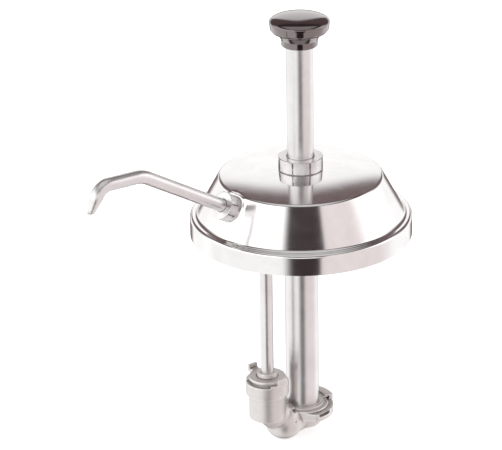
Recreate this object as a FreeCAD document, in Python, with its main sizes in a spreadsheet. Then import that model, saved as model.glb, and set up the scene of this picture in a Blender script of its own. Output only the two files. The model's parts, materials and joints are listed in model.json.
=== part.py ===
"""Stainless-steel condiment pump that hangs by its lid in a large round can.

Millimetres.  The origin is the centre of the lid skirt's mouth, +Z runs up the plunger's axis
and the spout points along -Y.  Pressing the knob drives the piston down the cylinder; the
product leaves through the outlet ball, the discharge tube and the spout.
"""
import FreeCAD, Part
import math
import os
import Sketcher

Vector = FreeCAD.Vector

# Directions and sweeps round a vertical axis, in degrees from +X.
EAR_STARTS, EAR_SWEEP = (70, 250), 40
HOOK_STARTS, HOOK_SWEEP = (66, 246), 48
SLOT_START, SLOT_SWEEP = -6, 30
SPIDER_STARTS, SPIDER_GAP = (8, 128, 248), 104
RIM_STEP_ENDS, RIM_STEP_SWEEP = (-29, 151), 100
WING_SWEEP = 26
CAP_NUT_TURN = 8
FLAT_ANGLE = -52

# Proportions.
OCTAGON_NIP = 0.28
TIP_THINNING = 0.75

Z_AXIS = Vector(0, 0, 1)
X_AXIS = Vector(1, 0, 0)

# Driving dimensions: alias, value, meaning.  Heights are in the part's own frame.
DIMENSIONS = (
    ("sheet_wall", 0.9, "thickness of the lid's spun sheet"),
    ("rim_radius", 80.3, "outside of the skirt"),
    ("rim_round", 2.5, "rounding at the top of the skirt"),
    ("ledge_height", 15.5, "top of the narrow ledge that rests on the can"),
    ("flank_lean", 28.5, "lean of the flank from upright"),
    ("ledge_round", 3.0, "fillet between the ledge and the flank"),
    ("shoulder_radius", 59.07, "radius where the flank meets the dome"),
    ("shoulder_height", 44.9, "height of that corner"),
    ("shoulder_round", 3.5, "rounding of that corner"),
    ("dome_radius", 350.0, "radius of the domed top"),
    ("hub_radius", 17.5, "flat seat pressed in the middle of the dome"),
    ("hub_height", 49.4, "top of that seat"),
    ("hub_hole", 13.3, "radius of the lid's centre hole"),
    ("snug", 0.03, "radial gap of a fixed joint"),
    ("running", 0.05, "radial gap of a sliding fit"),
    ("cap_flats", 32.0, "cap nut, across flats"),
    ("cap_height", 9.7, "cap nut, height"),
    ("cap_crown", 2.6, "thickness of the cap nut's top"),
    ("nut_slope", 30.0, "slope of the chamfers on the nuts"),
    ("nut_face", 0.2, "how far inside the flats those chamfers start"),
    ("thread_radius", 13.0, "cylinder head, outside of its thread"),
    ("head_flange", 17.0, "cylinder head, flange radius"),
    ("head_flange_wall", 3.0, "cylinder head, flange thickness"),
    ("gasket_wall", 1.0, "thickness of the flat gaskets"),
    ("cylinder_outer", 12.2, "cylinder, outside radius"),
    ("cylinder_bore", 11.0, "cylinder, bore radius"),
    ("cylinder_top", 52.0, "cylinder, top end"),
    ("cylinder_bottom", -142.2, "cylinder, bottom end"),
    ("bush_length", 16.0, "guide bush, length inside the cylinder"),
    ("bush_flange", 2.0, "guide bush, flange thickness"),
    ("plunger_outer", 9.75, "plunger tube, outside radius"),
    ("plunger_bore", 8.85, "plunger tube, bore radius"),
    ("plunger_bottom", -6.0, "plunger tube, bottom end at rest"),
    ("cap_hole_gap", 0.25, "clearance of the plunger tube in the cap nut's crown"),
    ("tube_gap", 0.15, "clearance of the discharge tube in the spout nut's crown"),
    ("gasket_gap", 0.15, "clearance of the lid gasket round the thread"),
    ("knob_bottom", 143.2, "underside of the knob's collar at rest"),
    ("knob_neck", 13.0, "knob, radius of the neck"),
    ("knob_radius", 21.5, "knob, largest radius"),
    ("knob_height", 17.3, "knob, height to its rim"),
    ("knob_dome", 2.7, "knob, rise of the top inside its bevel"),
    ("knob_collar", 4.6, "height of the knob's straight collar"),
    ("cove_width", 2.1, "how far the cove above the collar runs out"),
    ("cove_height", 3.3, "height of that cove"),
    ("cove_radius", 5.5, "radius of the cove's arc out to the disc"),
    ("disc_under", 10.4, "height of the disc's underside above the collar's foot"),
    ("disc_land", 2.2, "width of the sloping land under the disc's edge"),
    ("disc_edge", 0.9, "height of the disc's upright edge"),
    ("disc_flare", 0.8, "how far the disc's side leans out up to that edge"),
    ("disc_foot", 1.6, "height of the disc's rounded foot"),
    ("knob_lip", 2.6, "width of the bevel round the top"),
    ("knob_lip_rise", 2.4, "rise of that bevel"),
    ("knob_soft", 0.35, "rounding of the knob's sharp edges"),
    ("socket_depth", 6.8, "depth of the tube's socket in the knob"),
    ("insert_wall", 2.0, "wall of the knob's threaded insert"),
    ("insert_depth", 10.0, "depth of the insert's pocket beyond the socket"),
    ("stud_radius", 3.0, "radius of both studs"),
    ("stud_length", 8.0, "length of the upper stud beyond its plug"),
    ("stud_spare", 1.3, "length of the lower stud beyond its nut"),
    ("plug_length", 12.0, "length of the plugs in the plunger tube"),
    ("piston_length", 14.0, "piston, length"),
    ("piston_radius", 10.9, "piston, radius"),
    ("seal_section", 2.0, "height of a piston seal"),
    ("seal_depth", 1.7, "radial thickness of a piston seal"),
    ("seal_taper", 0.4, "how much each side of a seal tapers to its lip"),
    ("seal_gap", 0.04, "gap between the seals and the cylinder's bore"),
    ("lower_seal", 2.2, "height of the lower seal above the piston's foot"),
    ("upper_seal", 9.4, "height of the upper seal above the piston's foot"),
    ("piston_nut_flats", 10.0, "piston nut, across flats"),
    ("piston_nut_height", 5.0, "piston nut, height"),
    ("spring_radius", 9.4, "return spring, mean radius"),
    ("wire_radius", 0.7, "return spring, wire radius"),
    ("spring_turns", 13.0, "return spring, number of turns"),
    ("spider_wall", 1.2, "thickness of the spring seat"),
    ("spider_hub", 2.2, "radius of the spring seat's middle"),
    ("spider_spoke", 1.6, "width of the spring's rest on that seat"),
    ("discharge_offset", 33.0, "distance from the cylinder's axis to the discharge tube"),
    ("tube_outer", 4.75, "discharge tube, outside radius"),
    ("tube_wall", 0.9, "discharge tube, wall"),
    ("tube_bottom", -113.5, "discharge tube, lower end"),
    ("spout_rise", 30.5, "angle of the spout above level"),
    ("seat_reach", 64.6, "distance from the axis to the spout nut's seat"),
    ("seat_height", 35.5, "height of that seat"),
    ("spout_length", 88.1, "from the seat to the first bend"),
    ("arm_length", 35.3, "from the first bend to the second"),
    ("arm_rise", 2.6, "angle of that stretch above level"),
    ("tip_length", 19.6, "from the second bend to the tip"),
    ("tip_drop", 64.2, "angle of the tip below level"),
    ("tip_radius", 2.35, "outside radius at the tip"),
    ("inner_bend", 25.0, "bend radius inside the lid"),
    ("first_bend", 22.0, "radius of the first outer bend"),
    ("second_bend", 12.0, "radius of the second outer bend"),
    ("pad_radius", 10.8, "flat pressed in the flank for the spout nut"),
    ("pad_depth", 2.2, "depth of that flat from face to back"),
    ("bushing_thread", 7.0, "spout bushing, outside of its thread"),
    ("bushing_flange", 9.6, "spout bushing, flange radius"),
    ("spout_flats", 20.0, "spout nut, across flats"),
    ("spout_nut_height", 7.4, "spout nut, height"),
    ("spout_crown", 1.6, "thickness of the spout nut's top"),
    ("bushing_flange_wall", 1.8, "spout bushing, flange thickness"),
    ("ferrule_wall", 1.36, "length of the ferrule under the spout nut"),
    ("washer_wall", 1.2, "thickness of the spout washer"),
    ("deck_height", -137.0, "valve body, top of the large cup"),
    ("flange_radius", 22.8, "valve body, radius of the large cup's flange"),
    ("flange_bottom", -144.5, "valve body, underside of that flange"),
    ("flange_top", -138.4, "valve body, top of that flange"),
    ("well_rim", 2.6, "valve body, thickness of the large cup's rim"),
    ("well_radius", 16.0, "valve body, bore of the large cup"),
    ("well_floor", -143.4, "valve body, ledge under the cylinder"),
    ("flat_distance", 17.3, "distance from the cylinder's axis to the milled flat"),
    ("slot_low", 4.2, "depth of the ear slot's floor below the deck"),
    ("slot_high", 2.0, "depth of its roof below the deck"),
    ("slot_depth", 3.6, "how far the slot runs in from the flange"),
    ("sump_radius", 9.0, "valve body, chamber under the cylinder"),
    ("sump_floor", -149.5, "valve body, floor of that chamber"),
    ("boss_radius", 13.6, "valve body, outside under the large cup"),
    ("boss_bottom", -152.7, "valve body, underside below the cylinder"),
    ("lobe_radius", 14.5, "valve body, inlet lobe"),
    ("lobe_offset", 17.8, "distance from the cylinder's axis to the lobe"),
    ("lobe_height", -145.9, "height of the lobe's centre"),
    ("bridge_radius", 12.8, "valve body, neck between the large cup and the lobe"),
    ("cup_radius", 15.7, "valve body, radius of the small cup"),
    ("cup_top", -107.6, "valve body, rim of the small cup"),
    ("cup_step", -119.3, "valve body, underside of the small cup's band"),
    ("stem_radius", 13.5, "valve body, radius below that band"),
    ("stem_bottom", -138.4, "valve body, bottom of the small cup"),
    ("cup_bore", 11.4, "valve body, bore of the small cup"),
    ("cup_shelf", -114.0, "valve body, shelf under the discharge fitting"),
    ("outlet_chamber", 8.0, "radius round the outlet ball"),
    ("inlet_chamber", 7.5, "radius round the inlet ball"),
    ("outlet_seat", -130.0, "edge that the outlet ball rests on"),
    ("inlet_seat", -156.5, "edge that the inlet ball rests on"),
    ("port_radius", 4.2, "radius of the inlet and outlet ports"),
    ("ball_radius", 5.55, "radius of both valve balls"),
    ("ball_travel", 3.5, "lift of a ball from its seat to its pin"),
    ("pin_radius", 1.0, "radius of the pins that keep the balls"),
    ("ear_wall", 2.4, "thickness of the bayonet ears"),
    ("ear_clear", 0.2, "gap between an ear and the large cup's rim"),
    ("hook_lip", 1.9, "height of the hooks' undersides above the deck"),
    ("hook_top", 3.4, "height of the hooks above the deck"),
    ("hook_inset", 2.4, "how far the hooks reach in over the ears"),
    ("ear_inset", 2.8, "how far the ears stop inside the flange"),
    ("foot_disc", 4.4, "height of the foot's disc above the cylinder's end"),
    ("foot_groove", 0.9, "height of the foot's seal groove above that end"),
    ("groove_width", 2.2, "width of that groove"),
    ("groove_depth", 1.8, "depth of that groove"),
    ("lead_in", 0.5, "chamfer where a plug enters its cup"),
    ("wing_reach", 18.6, "reach of the discharge fitting's wings"),
    ("wing_tab", 3.0, "height of the raised tab at a wing's end"),
    ("tab_wall", 1.8, "thickness of that tab"),
    ("rim_step", 1.6, "height of the steps in the small cup's rim"),
)


class Size:
    """A number together with the spreadsheet expression that gives it."""

    def __init__(self, number, text):
        self.number = float(number)
        self.text = text

    @staticmethod
    def of(value):
        return value if isinstance(value, Size) else Size(value, repr(value))

    def __add__(self, other):
        other = Size.of(other)
        return Size(self.number + other.number, f"({self.text} + {other.text})")

    def __sub__(self, other):
        other = Size.of(other)
        return Size(self.number - other.number, f"({self.text} - {other.text})")

    def __mul__(self, other):
        other = Size.of(other)
        return Size(self.number * other.number, f"({self.text} * {other.text})")

    def __truediv__(self, other):
        other = Size.of(other)
        return Size(self.number / other.number, f"({self.text} / {other.text})")

    def __neg__(self):
        return Size(-self.number, f"(0 - {self.text})")

    __radd__ = __add__

    def __rsub__(self, other):
        return Size.of(other) - self


def cosine(angle):
    return Size(math.cos(math.radians(angle.number)), f"cos({angle.text})")


def sine(angle):
    return Size(math.sin(math.radians(angle.number)), f"sin({angle.text})")


def tangent(angle):
    return Size(math.tan(math.radians(angle.number)), f"tan({angle.text})")


def hypotenuse(one, other):
    number = math.hypot(one.number, other.number)
    return Size(number, f"sqrt({one.text}^2 + {other.text}^2)")


class Sizes:
    """The spreadsheet's cells, each as a Size attribute."""

    def __init__(self, doc):
        sheet = doc.addObject("Spreadsheet::Sheet", "dims")
        for row, (alias, number, meaning) in enumerate(DIMENSIONS, start=1):
            sheet.set(f"A{row}", meaning)
            sheet.set(f"B{row}", str(number))
            sheet.setAlias(f"B{row}", alias)
            setattr(self, alias, Size(number, f"dims.{alias}"))
        doc.recompute()


doc = FreeCAD.newDocument("condiment_pump")
size = Sizes(doc)
nodes = []


# ---- document helpers -------------------------------------------------------------------

def bind(thing, path, value):
    """Tie one property of an object to the spreadsheet."""
    thing.setExpression(path, Size.of(value).text)


def node(thing, label, placement=None):
    """Name a finished sub-part and keep it for export."""
    thing.Label = label
    if placement is not None:
        thing.Placement = placement
    nodes.append(thing)
    return thing


def new_body(name):
    return doc.addObject("PartDesign::Body", name)


def new_sketch(body, name, role, lift=None):
    """A sketch on one of the body's own origin planes, lifted along that plane's normal."""
    sketch = body.newObject("Sketcher::SketchObject", name)
    plane = next(f for f in body.Origin.OriginFeatures if f.Role == role)
    sketch.AttachmentSupport = [(plane, "")]
    sketch.MapMode = "FlatFace"
    if lift is not None:
        height = Vector(0, 0, Size.of(lift).number)
        sketch.AttachmentOffset = FreeCAD.Placement(height, FreeCAD.Rotation())
        bind(sketch, "AttachmentOffset.Base.z", lift)
    return sketch


def pin_point(sketch, index, end, point):
    """Fix one end of a sketch edge at (x, y), each coordinate tied to the spreadsheet."""
    for kind, axis, value in (("DistanceX", -2, point[0]), ("DistanceY", -1, point[1])):
        value = Size.of(value)
        if value.number == 0:
            sketch.addConstraint(Sketcher.Constraint("PointOnObject", index, end, axis))
            continue
        row = sketch.addConstraint(Sketcher.Constraint(kind, -1, 1, index, end, value.number))
        bind(sketch, f"Constraints[{row}]", value)


def arc_between(first, last, radius):
    """A circular arc from first to last; a positive radius turns to the left."""
    chord = last - first
    half = chord.Length / 2
    side = math.copysign(1, radius)
    left = Vector(-chord.y, chord.x, 0).normalize()
    centre = first + chord * 0.5 + left * side * math.sqrt(radius ** 2 - half ** 2)
    start, end = (first, last) if side > 0 else (last, first)
    angles = [math.atan2(p.y - centre.y, p.x - centre.x) for p in (start, end)]
    if angles[1] < angles[0]:
        angles[1] += 2 * math.pi
    return Part.ArcOfCircle(Part.Circle(centre, Z_AXIS, abs(radius)), *angles), side > 0


def outline(sketch, points, arcs=None, closed=True):
    """Draw edges through the points; arcs maps an edge's number to its signed radius."""
    arcs = arcs or {}
    flat = [Vector(Size.of(x).number, Size.of(y).number, 0) for x, y in points]
    count = len(points) if closed else len(points) - 1
    ends = []
    for number in range(count):
        first, last = flat[number], flat[(number + 1) % len(points)]
        if number in arcs:
            radius = Size.of(arcs[number])
            curve, forward = arc_between(first, last, radius.number)
            index = sketch.addGeometry(curve, False)
            row = sketch.addConstraint(Sketcher.Constraint("Radius", index, abs(radius.number)))
            bind(sketch, f"Constraints[{row}]", radius if radius.number > 0 else -radius)
        else:
            forward = True
            index = sketch.addGeometry(Part.LineSegment(first, last), False)
        ends.append((index, 1 if forward else 2, 2 if forward else 1))
    for number, (index, start, _) in enumerate(ends):
        pin_point(sketch, index, start, points[number])
        if closed or number > 0:
            before = ends[number - 1]
            sketch.addConstraint(Sketcher.Constraint("Coincident", before[0], before[2], index, start))
    if not closed:
        pin_point(sketch, ends[-1][0], ends[-1][2], points[-1])
    return sketch


def circle(sketch, radius, centre=(0, 0)):
    """A circle whose radius and centre are tied to the spreadsheet."""
    radius = Size.of(radius)
    middle = Vector(Size.of(centre[0]).number, Size.of(centre[1]).number, 0)
    index = sketch.addGeometry(Part.Circle(middle, Z_AXIS, radius.number), False)
    pin_point(sketch, index, 3, centre)
    row = sketch.addConstraint(Sketcher.Constraint("Radius", index, radius.number))
    bind(sketch, f"Constraints[{row}]", radius)


def feature(body, kind, name, profile):
    thing = body.newObject(f"PartDesign::{kind}", name)
    thing.Profile = profile
    body.Tip = thing
    return thing


def turn(body, name, points, arcs=None, kind="Revolution"):
    """Revolve (or groove) an outline of (radius, height) points about Z."""
    sketch = outline(new_sketch(body, name + "_outline", "XZ_Plane"), points, arcs)
    turned = feature(body, kind, name, sketch)
    turned.ReferenceAxis = (sketch, ["V_Axis"])
    turned.Angle = 360
    return turned


def turned_body(label, points, arcs=None):
    body = new_body(label)
    turn(body, label + "_turned", points, arcs)
    return node(body, label)


def ring(inner, outer, low, high):
    """The outline of a plain ring."""
    return [(inner, low), (outer, low), (outer, high), (inner, high)]


def pad(body, name, sketch, length):
    padded = feature(body, "Pad", name, sketch)
    bind(padded, "Length", length)
    return padded


def edges_at(shape, test):
    """Names of the edges whose middle, as (radius, height), passes the test."""
    found = []
    for number, edge in enumerate(shape.Edges, start=1):
        middle = edge.valueAt((edge.FirstParameter + edge.LastParameter) / 2)
        if edge.Closed and test(math.hypot(middle.x, middle.y), middle.z):
            found.append(f"Edge{number}")
    return found


def near(value, target, slack=0.01):
    return abs(value - Size.of(target).number) < slack


def round_ring(body, name, places, radius):
    """Fillet the circular edges at the given (radius, height) places."""
    doc.recompute()
    base = body.Tip
    names = []
    for place in places:
        names += edges_at(base.Shape, lambda r, z: near(r, place[0]) and near(z, place[1]))
    fillet = body.newObject("PartDesign::Fillet", name)
    fillet.Base = (base, names)
    bind(fillet, "Radius", radius)
    body.Tip = fillet
    return fillet


def cylinder(name, radius, low, high, at=(0, 0), sector=None, start=0):
    """A Part cylinder between two heights; sector and start give a slice, in degrees."""
    solid = doc.addObject("Part::Cylinder", name)
    bind(solid, "Radius", radius)
    bind(solid, "Height", Size.of(high) - low)
    solid.Placement = FreeCAD.Placement(Vector(), FreeCAD.Rotation(Z_AXIS, start))
    for axis, value in zip("xyz", (at[0], at[1], low)):
        bind(solid, f"Placement.Base.{axis}", value)
    if sector is not None:
        solid.Angle = sector
    return solid


def boolean(kind, name, base, *tools):
    """Cut tools from base, or fuse them all."""
    if kind == "Cut":
        for number, tool in enumerate(tools):
            cut = doc.addObject("Part::Cut", f"{name}_{number}")
            cut.Base, cut.Tool = base, tool
            base = cut
        return base
    fused = doc.addObject("Part::MultiFuse", name)
    fused.Shapes = [base, *tools]
    fused.Refine = True
    return fused


def octagon(across):
    """Corner points of an octagon with flats facing X and Y."""
    half = across / 2
    short = half * tangent(Size(22.5, "22.5"))
    quarter = [(half, short), (short, half)]
    points = quarter + [(-x, y) for x, y in reversed(quarter)]
    return points + [(-x, -y) for x, y in points]


def octagonal_nut(label, across, height, bore, crown, hole):
    """A closed nut on its own z = 0 seat: octagon, threaded bore, and a crown with a hole."""
    body = new_body(label)
    flats = outline(new_sketch(body, label + "_flats", "XY_Plane"), octagon(across))
    pad(body, label + "_blank", flats, height)
    edge, far = across / 2 - size.nut_face, across * 0.6
    drop = (far - edge) * tangent(size.nut_slope)
    for end, level, toward in (("top", height, -1), ("foot", Size(0, "0"), 1)):
        low = level + drop if toward > 0 else level - drop
        beyond = level - toward * 1.0
        corner = [(edge, level), (far, low), (far, beyond), (edge, beyond)]
        turn(body, f"{label}_{end}_chamfer", corner, kind="Groove")
    shelf, above = height - crown, height + 1
    inside = [(0, -1), (bore, -1), (bore, shelf), (hole, shelf), (hole, above), (0, above)]
    turn(body, label + "_bore", inside, kind="Groove")
    return node(body, label)


# ---- lid --------------------------------------------------------------------------------

def spout_frame():
    """Origin at the spout nut's seat, Z out along the spout."""
    rise = size.spout_rise.number
    seat = Vector(0, -size.seat_reach.number, size.seat_height.number)
    return FreeCAD.Placement(seat, FreeCAD.Rotation(X_AXIS, 90 - rise))


def place_on_spout(thing, reach=0):
    """Put a piece made on the Z axis at the seat, with its own z = 0 out by reach."""
    thing.Placement = spout_frame()
    reach = Size.of(reach)
    bind(thing, "Placement.Base.y", -(size.seat_reach + reach * cosine(size.spout_rise)))
    bind(thing, "Placement.Base.z", size.seat_height + reach * sine(size.spout_rise))
    bind(thing, "Placement.Rotation.Angle", Size(90, "90") - size.spout_rise)
    return thing


def make_lid():
    """One sheet of even thickness: skirt, ledge, flank and dome, with its holes."""
    wall, lean = size.sheet_wall, size.flank_lean
    ledge_inner = size.shoulder_radius + (size.shoulder_height - size.ledge_height) * tangent(lean)
    flank_inset = wall / cosine(lean) - wall * tangent(lean)
    outside = [
        (size.rim_radius, Size(0, "0")), (size.rim_radius, size.ledge_height),
        (ledge_inner, size.ledge_height),
        (size.shoulder_radius, size.shoulder_height), (size.hub_radius, size.hub_height),
        (size.hub_hole, size.hub_height)]
    insets = (wall, wall, flank_inset, flank_inset, 0, 0)
    drops = (0, wall, wall, wall, wall, wall)
    inside = [(r - inset, z - drop) for (r, z), inset, drop in zip(outside, insets, drops)]
    body = new_body("lid_shell")
    turn(body, "lid_form", outside + inside[::-1], {3: size.dome_radius, 7: -size.dome_radius})
    corners = (("rim", 1, size.rim_round, -1), ("ledge", 2, size.ledge_round, 1),
               ("shoulder", 3, size.shoulder_round, -1))
    for name, corner, rounding, way in corners:
        round_ring(body, name + "_outside", [outside[corner]], rounding)
        round_ring(body, name + "_inside", [inside[corner]], rounding + wall * way)
    flat = place_on_spout(cylinder("spout_flat", size.pad_radius, 0, size.pad_depth), -size.pad_depth)
    hole = place_on_spout(cylinder("spout_hole", size.bushing_thread + 0.2, 0, 12), -6)
    node(boolean("Cut", "lid_cut", boolean("Fuse", "lid_blank", body, flat), hole), "lid")


def make_lid_fittings():
    thread = size.thread_radius
    nut = octagonal_nut("cap_nut", size.cap_flats, size.cap_height, thread + size.running,
                        size.cap_crown, size.plunger_outer + size.cap_hole_gap)
    nut.Placement = FreeCAD.Placement(Vector(), FreeCAD.Rotation(Z_AXIS, CAP_NUT_TURN))
    bind(nut, "Placement.Base.z", size.hub_height)
    under = size.hub_height - size.sheet_wall
    gasket_low = under - size.gasket_wall
    turned_body("lid_gasket", ring(thread + size.gasket_gap, size.head_flange, gasket_low, under))
    bore = size.cylinder_outer + size.snug
    flange_low, top = gasket_low - size.head_flange_wall, size.cylinder_top + size.bush_flange
    turned_body("cylinder_head", [
        (bore, flange_low), (size.head_flange, flange_low), (size.head_flange, gasket_low),
        (thread, gasket_low), (thread, top), (bore, top)])
    slide, inside = size.plunger_outer + size.running, size.cylinder_bore - size.snug
    bush_low = size.cylinder_top - size.bush_length
    turned_body("guide_bush", [
        (slide, bush_low), (inside, bush_low), (inside, size.cylinder_top),
        (size.cylinder_outer, size.cylinder_top), (size.cylinder_outer, top), (slide, top)])
    crown_low = size.hub_height + size.cap_height - size.cap_crown
    turned_body("wiper_ring", ring(slide, thread - 0.1, top, crown_low))


# ---- cylinder and plunger -----------------------------------------------------------------

def make_cylinder():
    walls = ring(size.cylinder_bore, size.cylinder_outer, size.cylinder_bottom, size.cylinder_top)
    turned_body("cylinder_tube", walls)


def make_plunger():
    top = size.knob_bottom + size.socket_depth - 0.2
    turned_body("plunger_tube", ring(size.plunger_bore, size.plunger_outer, size.plunger_bottom, top))
    plug = size.plunger_bore - size.snug
    stud = size.stud_radius - size.snug
    inside, stud_top = top - size.plug_length, top + size.stud_length
    turned_body("top_plug", [
        (0, inside), (plug, inside), (plug, top), (stud, top), (stud, stud_top), (0, stud_top)])
    low = size.plunger_bottom
    inside = low + size.plug_length
    stud_end = low - size.piston_length - size.washer_wall - size.piston_nut_height - size.stud_spare
    turned_body("end_plug", [
        (0, stud_end), (stud, stud_end), (stud, low), (plug, low), (plug, inside), (0, inside)])
    make_knob()
    make_piston()


def make_knob():
    base, rim = size.knob_bottom, size.knob_bottom + size.knob_height
    neck, out = size.knob_neck, size.knob_radius
    cove = neck + size.cove_width
    under, socket = base + size.disc_under, base + size.socket_depth
    collar, cove_top = base + size.knob_collar, base + size.knob_collar + size.cove_height
    pocket, hole = size.stud_radius + size.insert_wall, size.plunger_outer + size.snug
    insert_top = socket + size.insert_depth
    lip, crest = out - size.knob_lip, rim + size.knob_lip_rise
    rise = size.knob_dome
    crown = (lip * lip + rise * rise) / (rise * 2)
    body = new_body("knob")
    turn(body, "knob_turned", [
        (0, insert_top), (pocket, insert_top), (pocket, socket), (hole, socket), (hole, base), (neck, base),
        (neck, collar), (cove, cove_top), (out - size.disc_land, under),
        (out - size.disc_flare, under + size.disc_foot), (out, rim - size.disc_edge), (out, rim),
        (lip, crest), (0, crest + rise)],
        {6: -size.cove_radius, 12: crown})
    round_ring(body, "knob_edges", [(out, rim), (neck, base)], size.knob_soft)
    node(body, "knob")
    turned_body("knob_insert", ring(size.stud_radius, pocket - size.snug, socket + 0.3, insert_top - 0.4))


def make_piston():
    high, low = size.plunger_bottom, size.plunger_bottom - size.piston_length
    hole = size.stud_radius + size.snug
    body = new_body("piston")
    turn(body, "piston_blank", ring(hole, size.piston_radius, low, high))
    lip = size.cylinder_bore - size.seal_gap
    seal_floor = lip - size.seal_depth
    seals = []
    for number, offset in enumerate((size.lower_seal, size.upper_seal)):
        foot, head = low + offset, low + offset + size.seal_section
        groove = ring(seal_floor - size.snug, size.piston_radius + 1, foot - size.snug, head + size.snug)
        turn(body, f"seal_groove_{number}", groove, kind="Groove")
        seal_body = new_body(f"seal_ring_{number}")
        turn(seal_body, f"seal_turned_{number}", [
            (seal_floor, foot), (lip, foot + size.seal_taper),
            (lip, head - size.seal_taper), (seal_floor, head)])
        seals.append(seal_body)
    node(body, "piston")
    both = doc.addObject("Part::Compound", "seal_pair")
    both.Links = seals
    node(both, "piston_seals")
    washer = size.spring_radius - size.wire_radius * 2
    turned_body("piston_washer", ring(hole, washer, low - size.washer_wall, low))
    nut = new_body("piston_nut")
    flats = size.piston_nut_flats
    corner = flats / Size(math.sqrt(3), "sqrt(3)")
    hexagon = [(corner, 0), (corner / 2, flats / 2), (-corner / 2, flats / 2),
               (-corner, 0), (-corner / 2, -flats / 2), (corner / 2, -flats / 2)]
    foot = low - size.washer_wall - size.piston_nut_height
    sketch = outline(new_sketch(nut, "nut_flats", "XY_Plane", foot), hexagon)
    circle(sketch, hole)
    pad(nut, "nut_blank", sketch, size.piston_nut_height)
    node(nut, "piston_nut")


def make_spring():
    """A right-hand helix of even pitch that stands between the spring seat and the piston."""
    wire, radius = size.wire_radius.number, size.spring_radius.number
    low = size.cylinder_bottom.number + wire + size.snug.number
    high = size.plunger_bottom.number - size.piston_length.number - wire - size.snug.number
    pitch = (high - low) / size.spring_turns.number
    helix = Part.makeHelix(pitch, high - low, radius)
    helix.translate(Vector(0, 0, low))
    slope = math.atan2(pitch, 2 * math.pi * radius)
    direction = Vector(0, math.cos(slope), math.sin(slope))
    section = Part.Wire(Part.makeCircle(wire, Vector(radius, 0, low), direction))
    spring = doc.addObject("Part::Feature", "return_spring")
    spring.Shape = Part.Wire(helix.Edges).makePipeShell([section], True, True)
    node(spring, "return_spring")


def make_foot():
    """Bayonet ring at the cylinder's lower end, with two ears that lock under the body's hooks."""
    low = size.cylinder_bottom
    bore, plug = size.cylinder_outer + size.snug, size.well_radius - size.running
    groove = plug - size.groove_depth
    groove_low, groove_high = low + size.foot_groove, low + size.foot_groove + size.groove_width
    disc, top = low + size.foot_disc, low + size.foot_disc + size.ear_wall
    blank = new_body("foot_blank")
    turn(blank, "foot_turned", [
        (bore, low), (plug - size.lead_in, low), (plug, low + size.lead_in), (plug, groove_low),
        (groove, groove_low), (groove, groove_high), (plug, groove_high), (plug, top), (bore, top)])
    doc.recompute()
    ear_low = size.deck_height + size.ear_clear
    ears = []
    for start in EAR_STARTS:
        outer = cylinder(f"ear_{start}", size.flange_radius - size.ear_inset, ear_low, top,
                         sector=EAR_SWEEP, start=start)
        core = cylinder(f"ear_core_{start}", size.cylinder_outer + 1.5, disc, top + 1)
        ears.append(boolean("Cut", f"ear_trim_{start}", outer, core))
    node(boolean("Fuse", "foot_fused", blank, *ears), "cylinder_foot")
    turned_body("cylinder_o_ring", o_ring(groove + 0.02, plug + 0.02, groove_low + 0.2))


def o_ring(inner, outer, low):
    """A seal ring of octagonal section between two radii."""
    width = outer - inner
    nip = width * OCTAGON_NIP
    high = low + width
    return [(inner + nip, low), (outer - nip, low), (outer, low + nip), (outer, high - nip),
            (outer - nip, high), (inner + nip, high), (inner, high - nip), (inner, low + nip)]


def make_spider():
    """Ring with three spokes on the well's floor: the spring stands on it, the product passes."""
    low = size.well_floor
    high = low + size.spider_wall
    disc = cylinder("spider_disc", size.well_radius - 0.2, low, high)
    gaps = []
    for start in SPIDER_STARTS:
        gap = cylinder(f"gap_{start}", size.spring_radius - size.spider_spoke, low - 1, high + 1,
                       sector=SPIDER_GAP, start=start)
        core = cylinder(f"gap_core_{start}", size.spider_hub, low - 2, high + 2)
        gaps.append(boolean("Cut", f"gap_trim_{start}", gap, core))
    node(boolean("Cut", "spider_cut", disc, *gaps), "spring_spider")


# ---- discharge ------------------------------------------------------------------------------

def spout_points():
    """Corners of the discharge tube's centreline, as (y, z), from the foot to the tip's start."""
    offset, rise = size.discharge_offset, size.spout_rise
    seat = (-size.seat_reach, size.seat_height)
    knee = (-offset, seat[1] - (size.seat_reach - offset) * tangent(rise))
    bend_one = (seat[0] - size.spout_length * cosine(rise), seat[1] + size.spout_length * sine(rise))
    bend_two = (bend_one[0] - size.arm_length * cosine(size.arm_rise),
                bend_one[1] + size.arm_length * sine(size.arm_rise))
    tip = (bend_two[0] - size.tip_length * cosine(size.tip_drop),
           bend_two[1] - size.tip_length * sine(size.tip_drop))
    return [(-offset, size.tube_bottom), knee, bend_one, bend_two, tip]


def along(first, last, distance):
    """The point at a distance from first towards last."""
    span_y, span_z = last[0] - first[0], last[1] - first[1]
    share = Size.of(distance) / hypotenuse(span_y, span_z)
    return first[0] + span_y * share, first[1] + span_z * share


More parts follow.
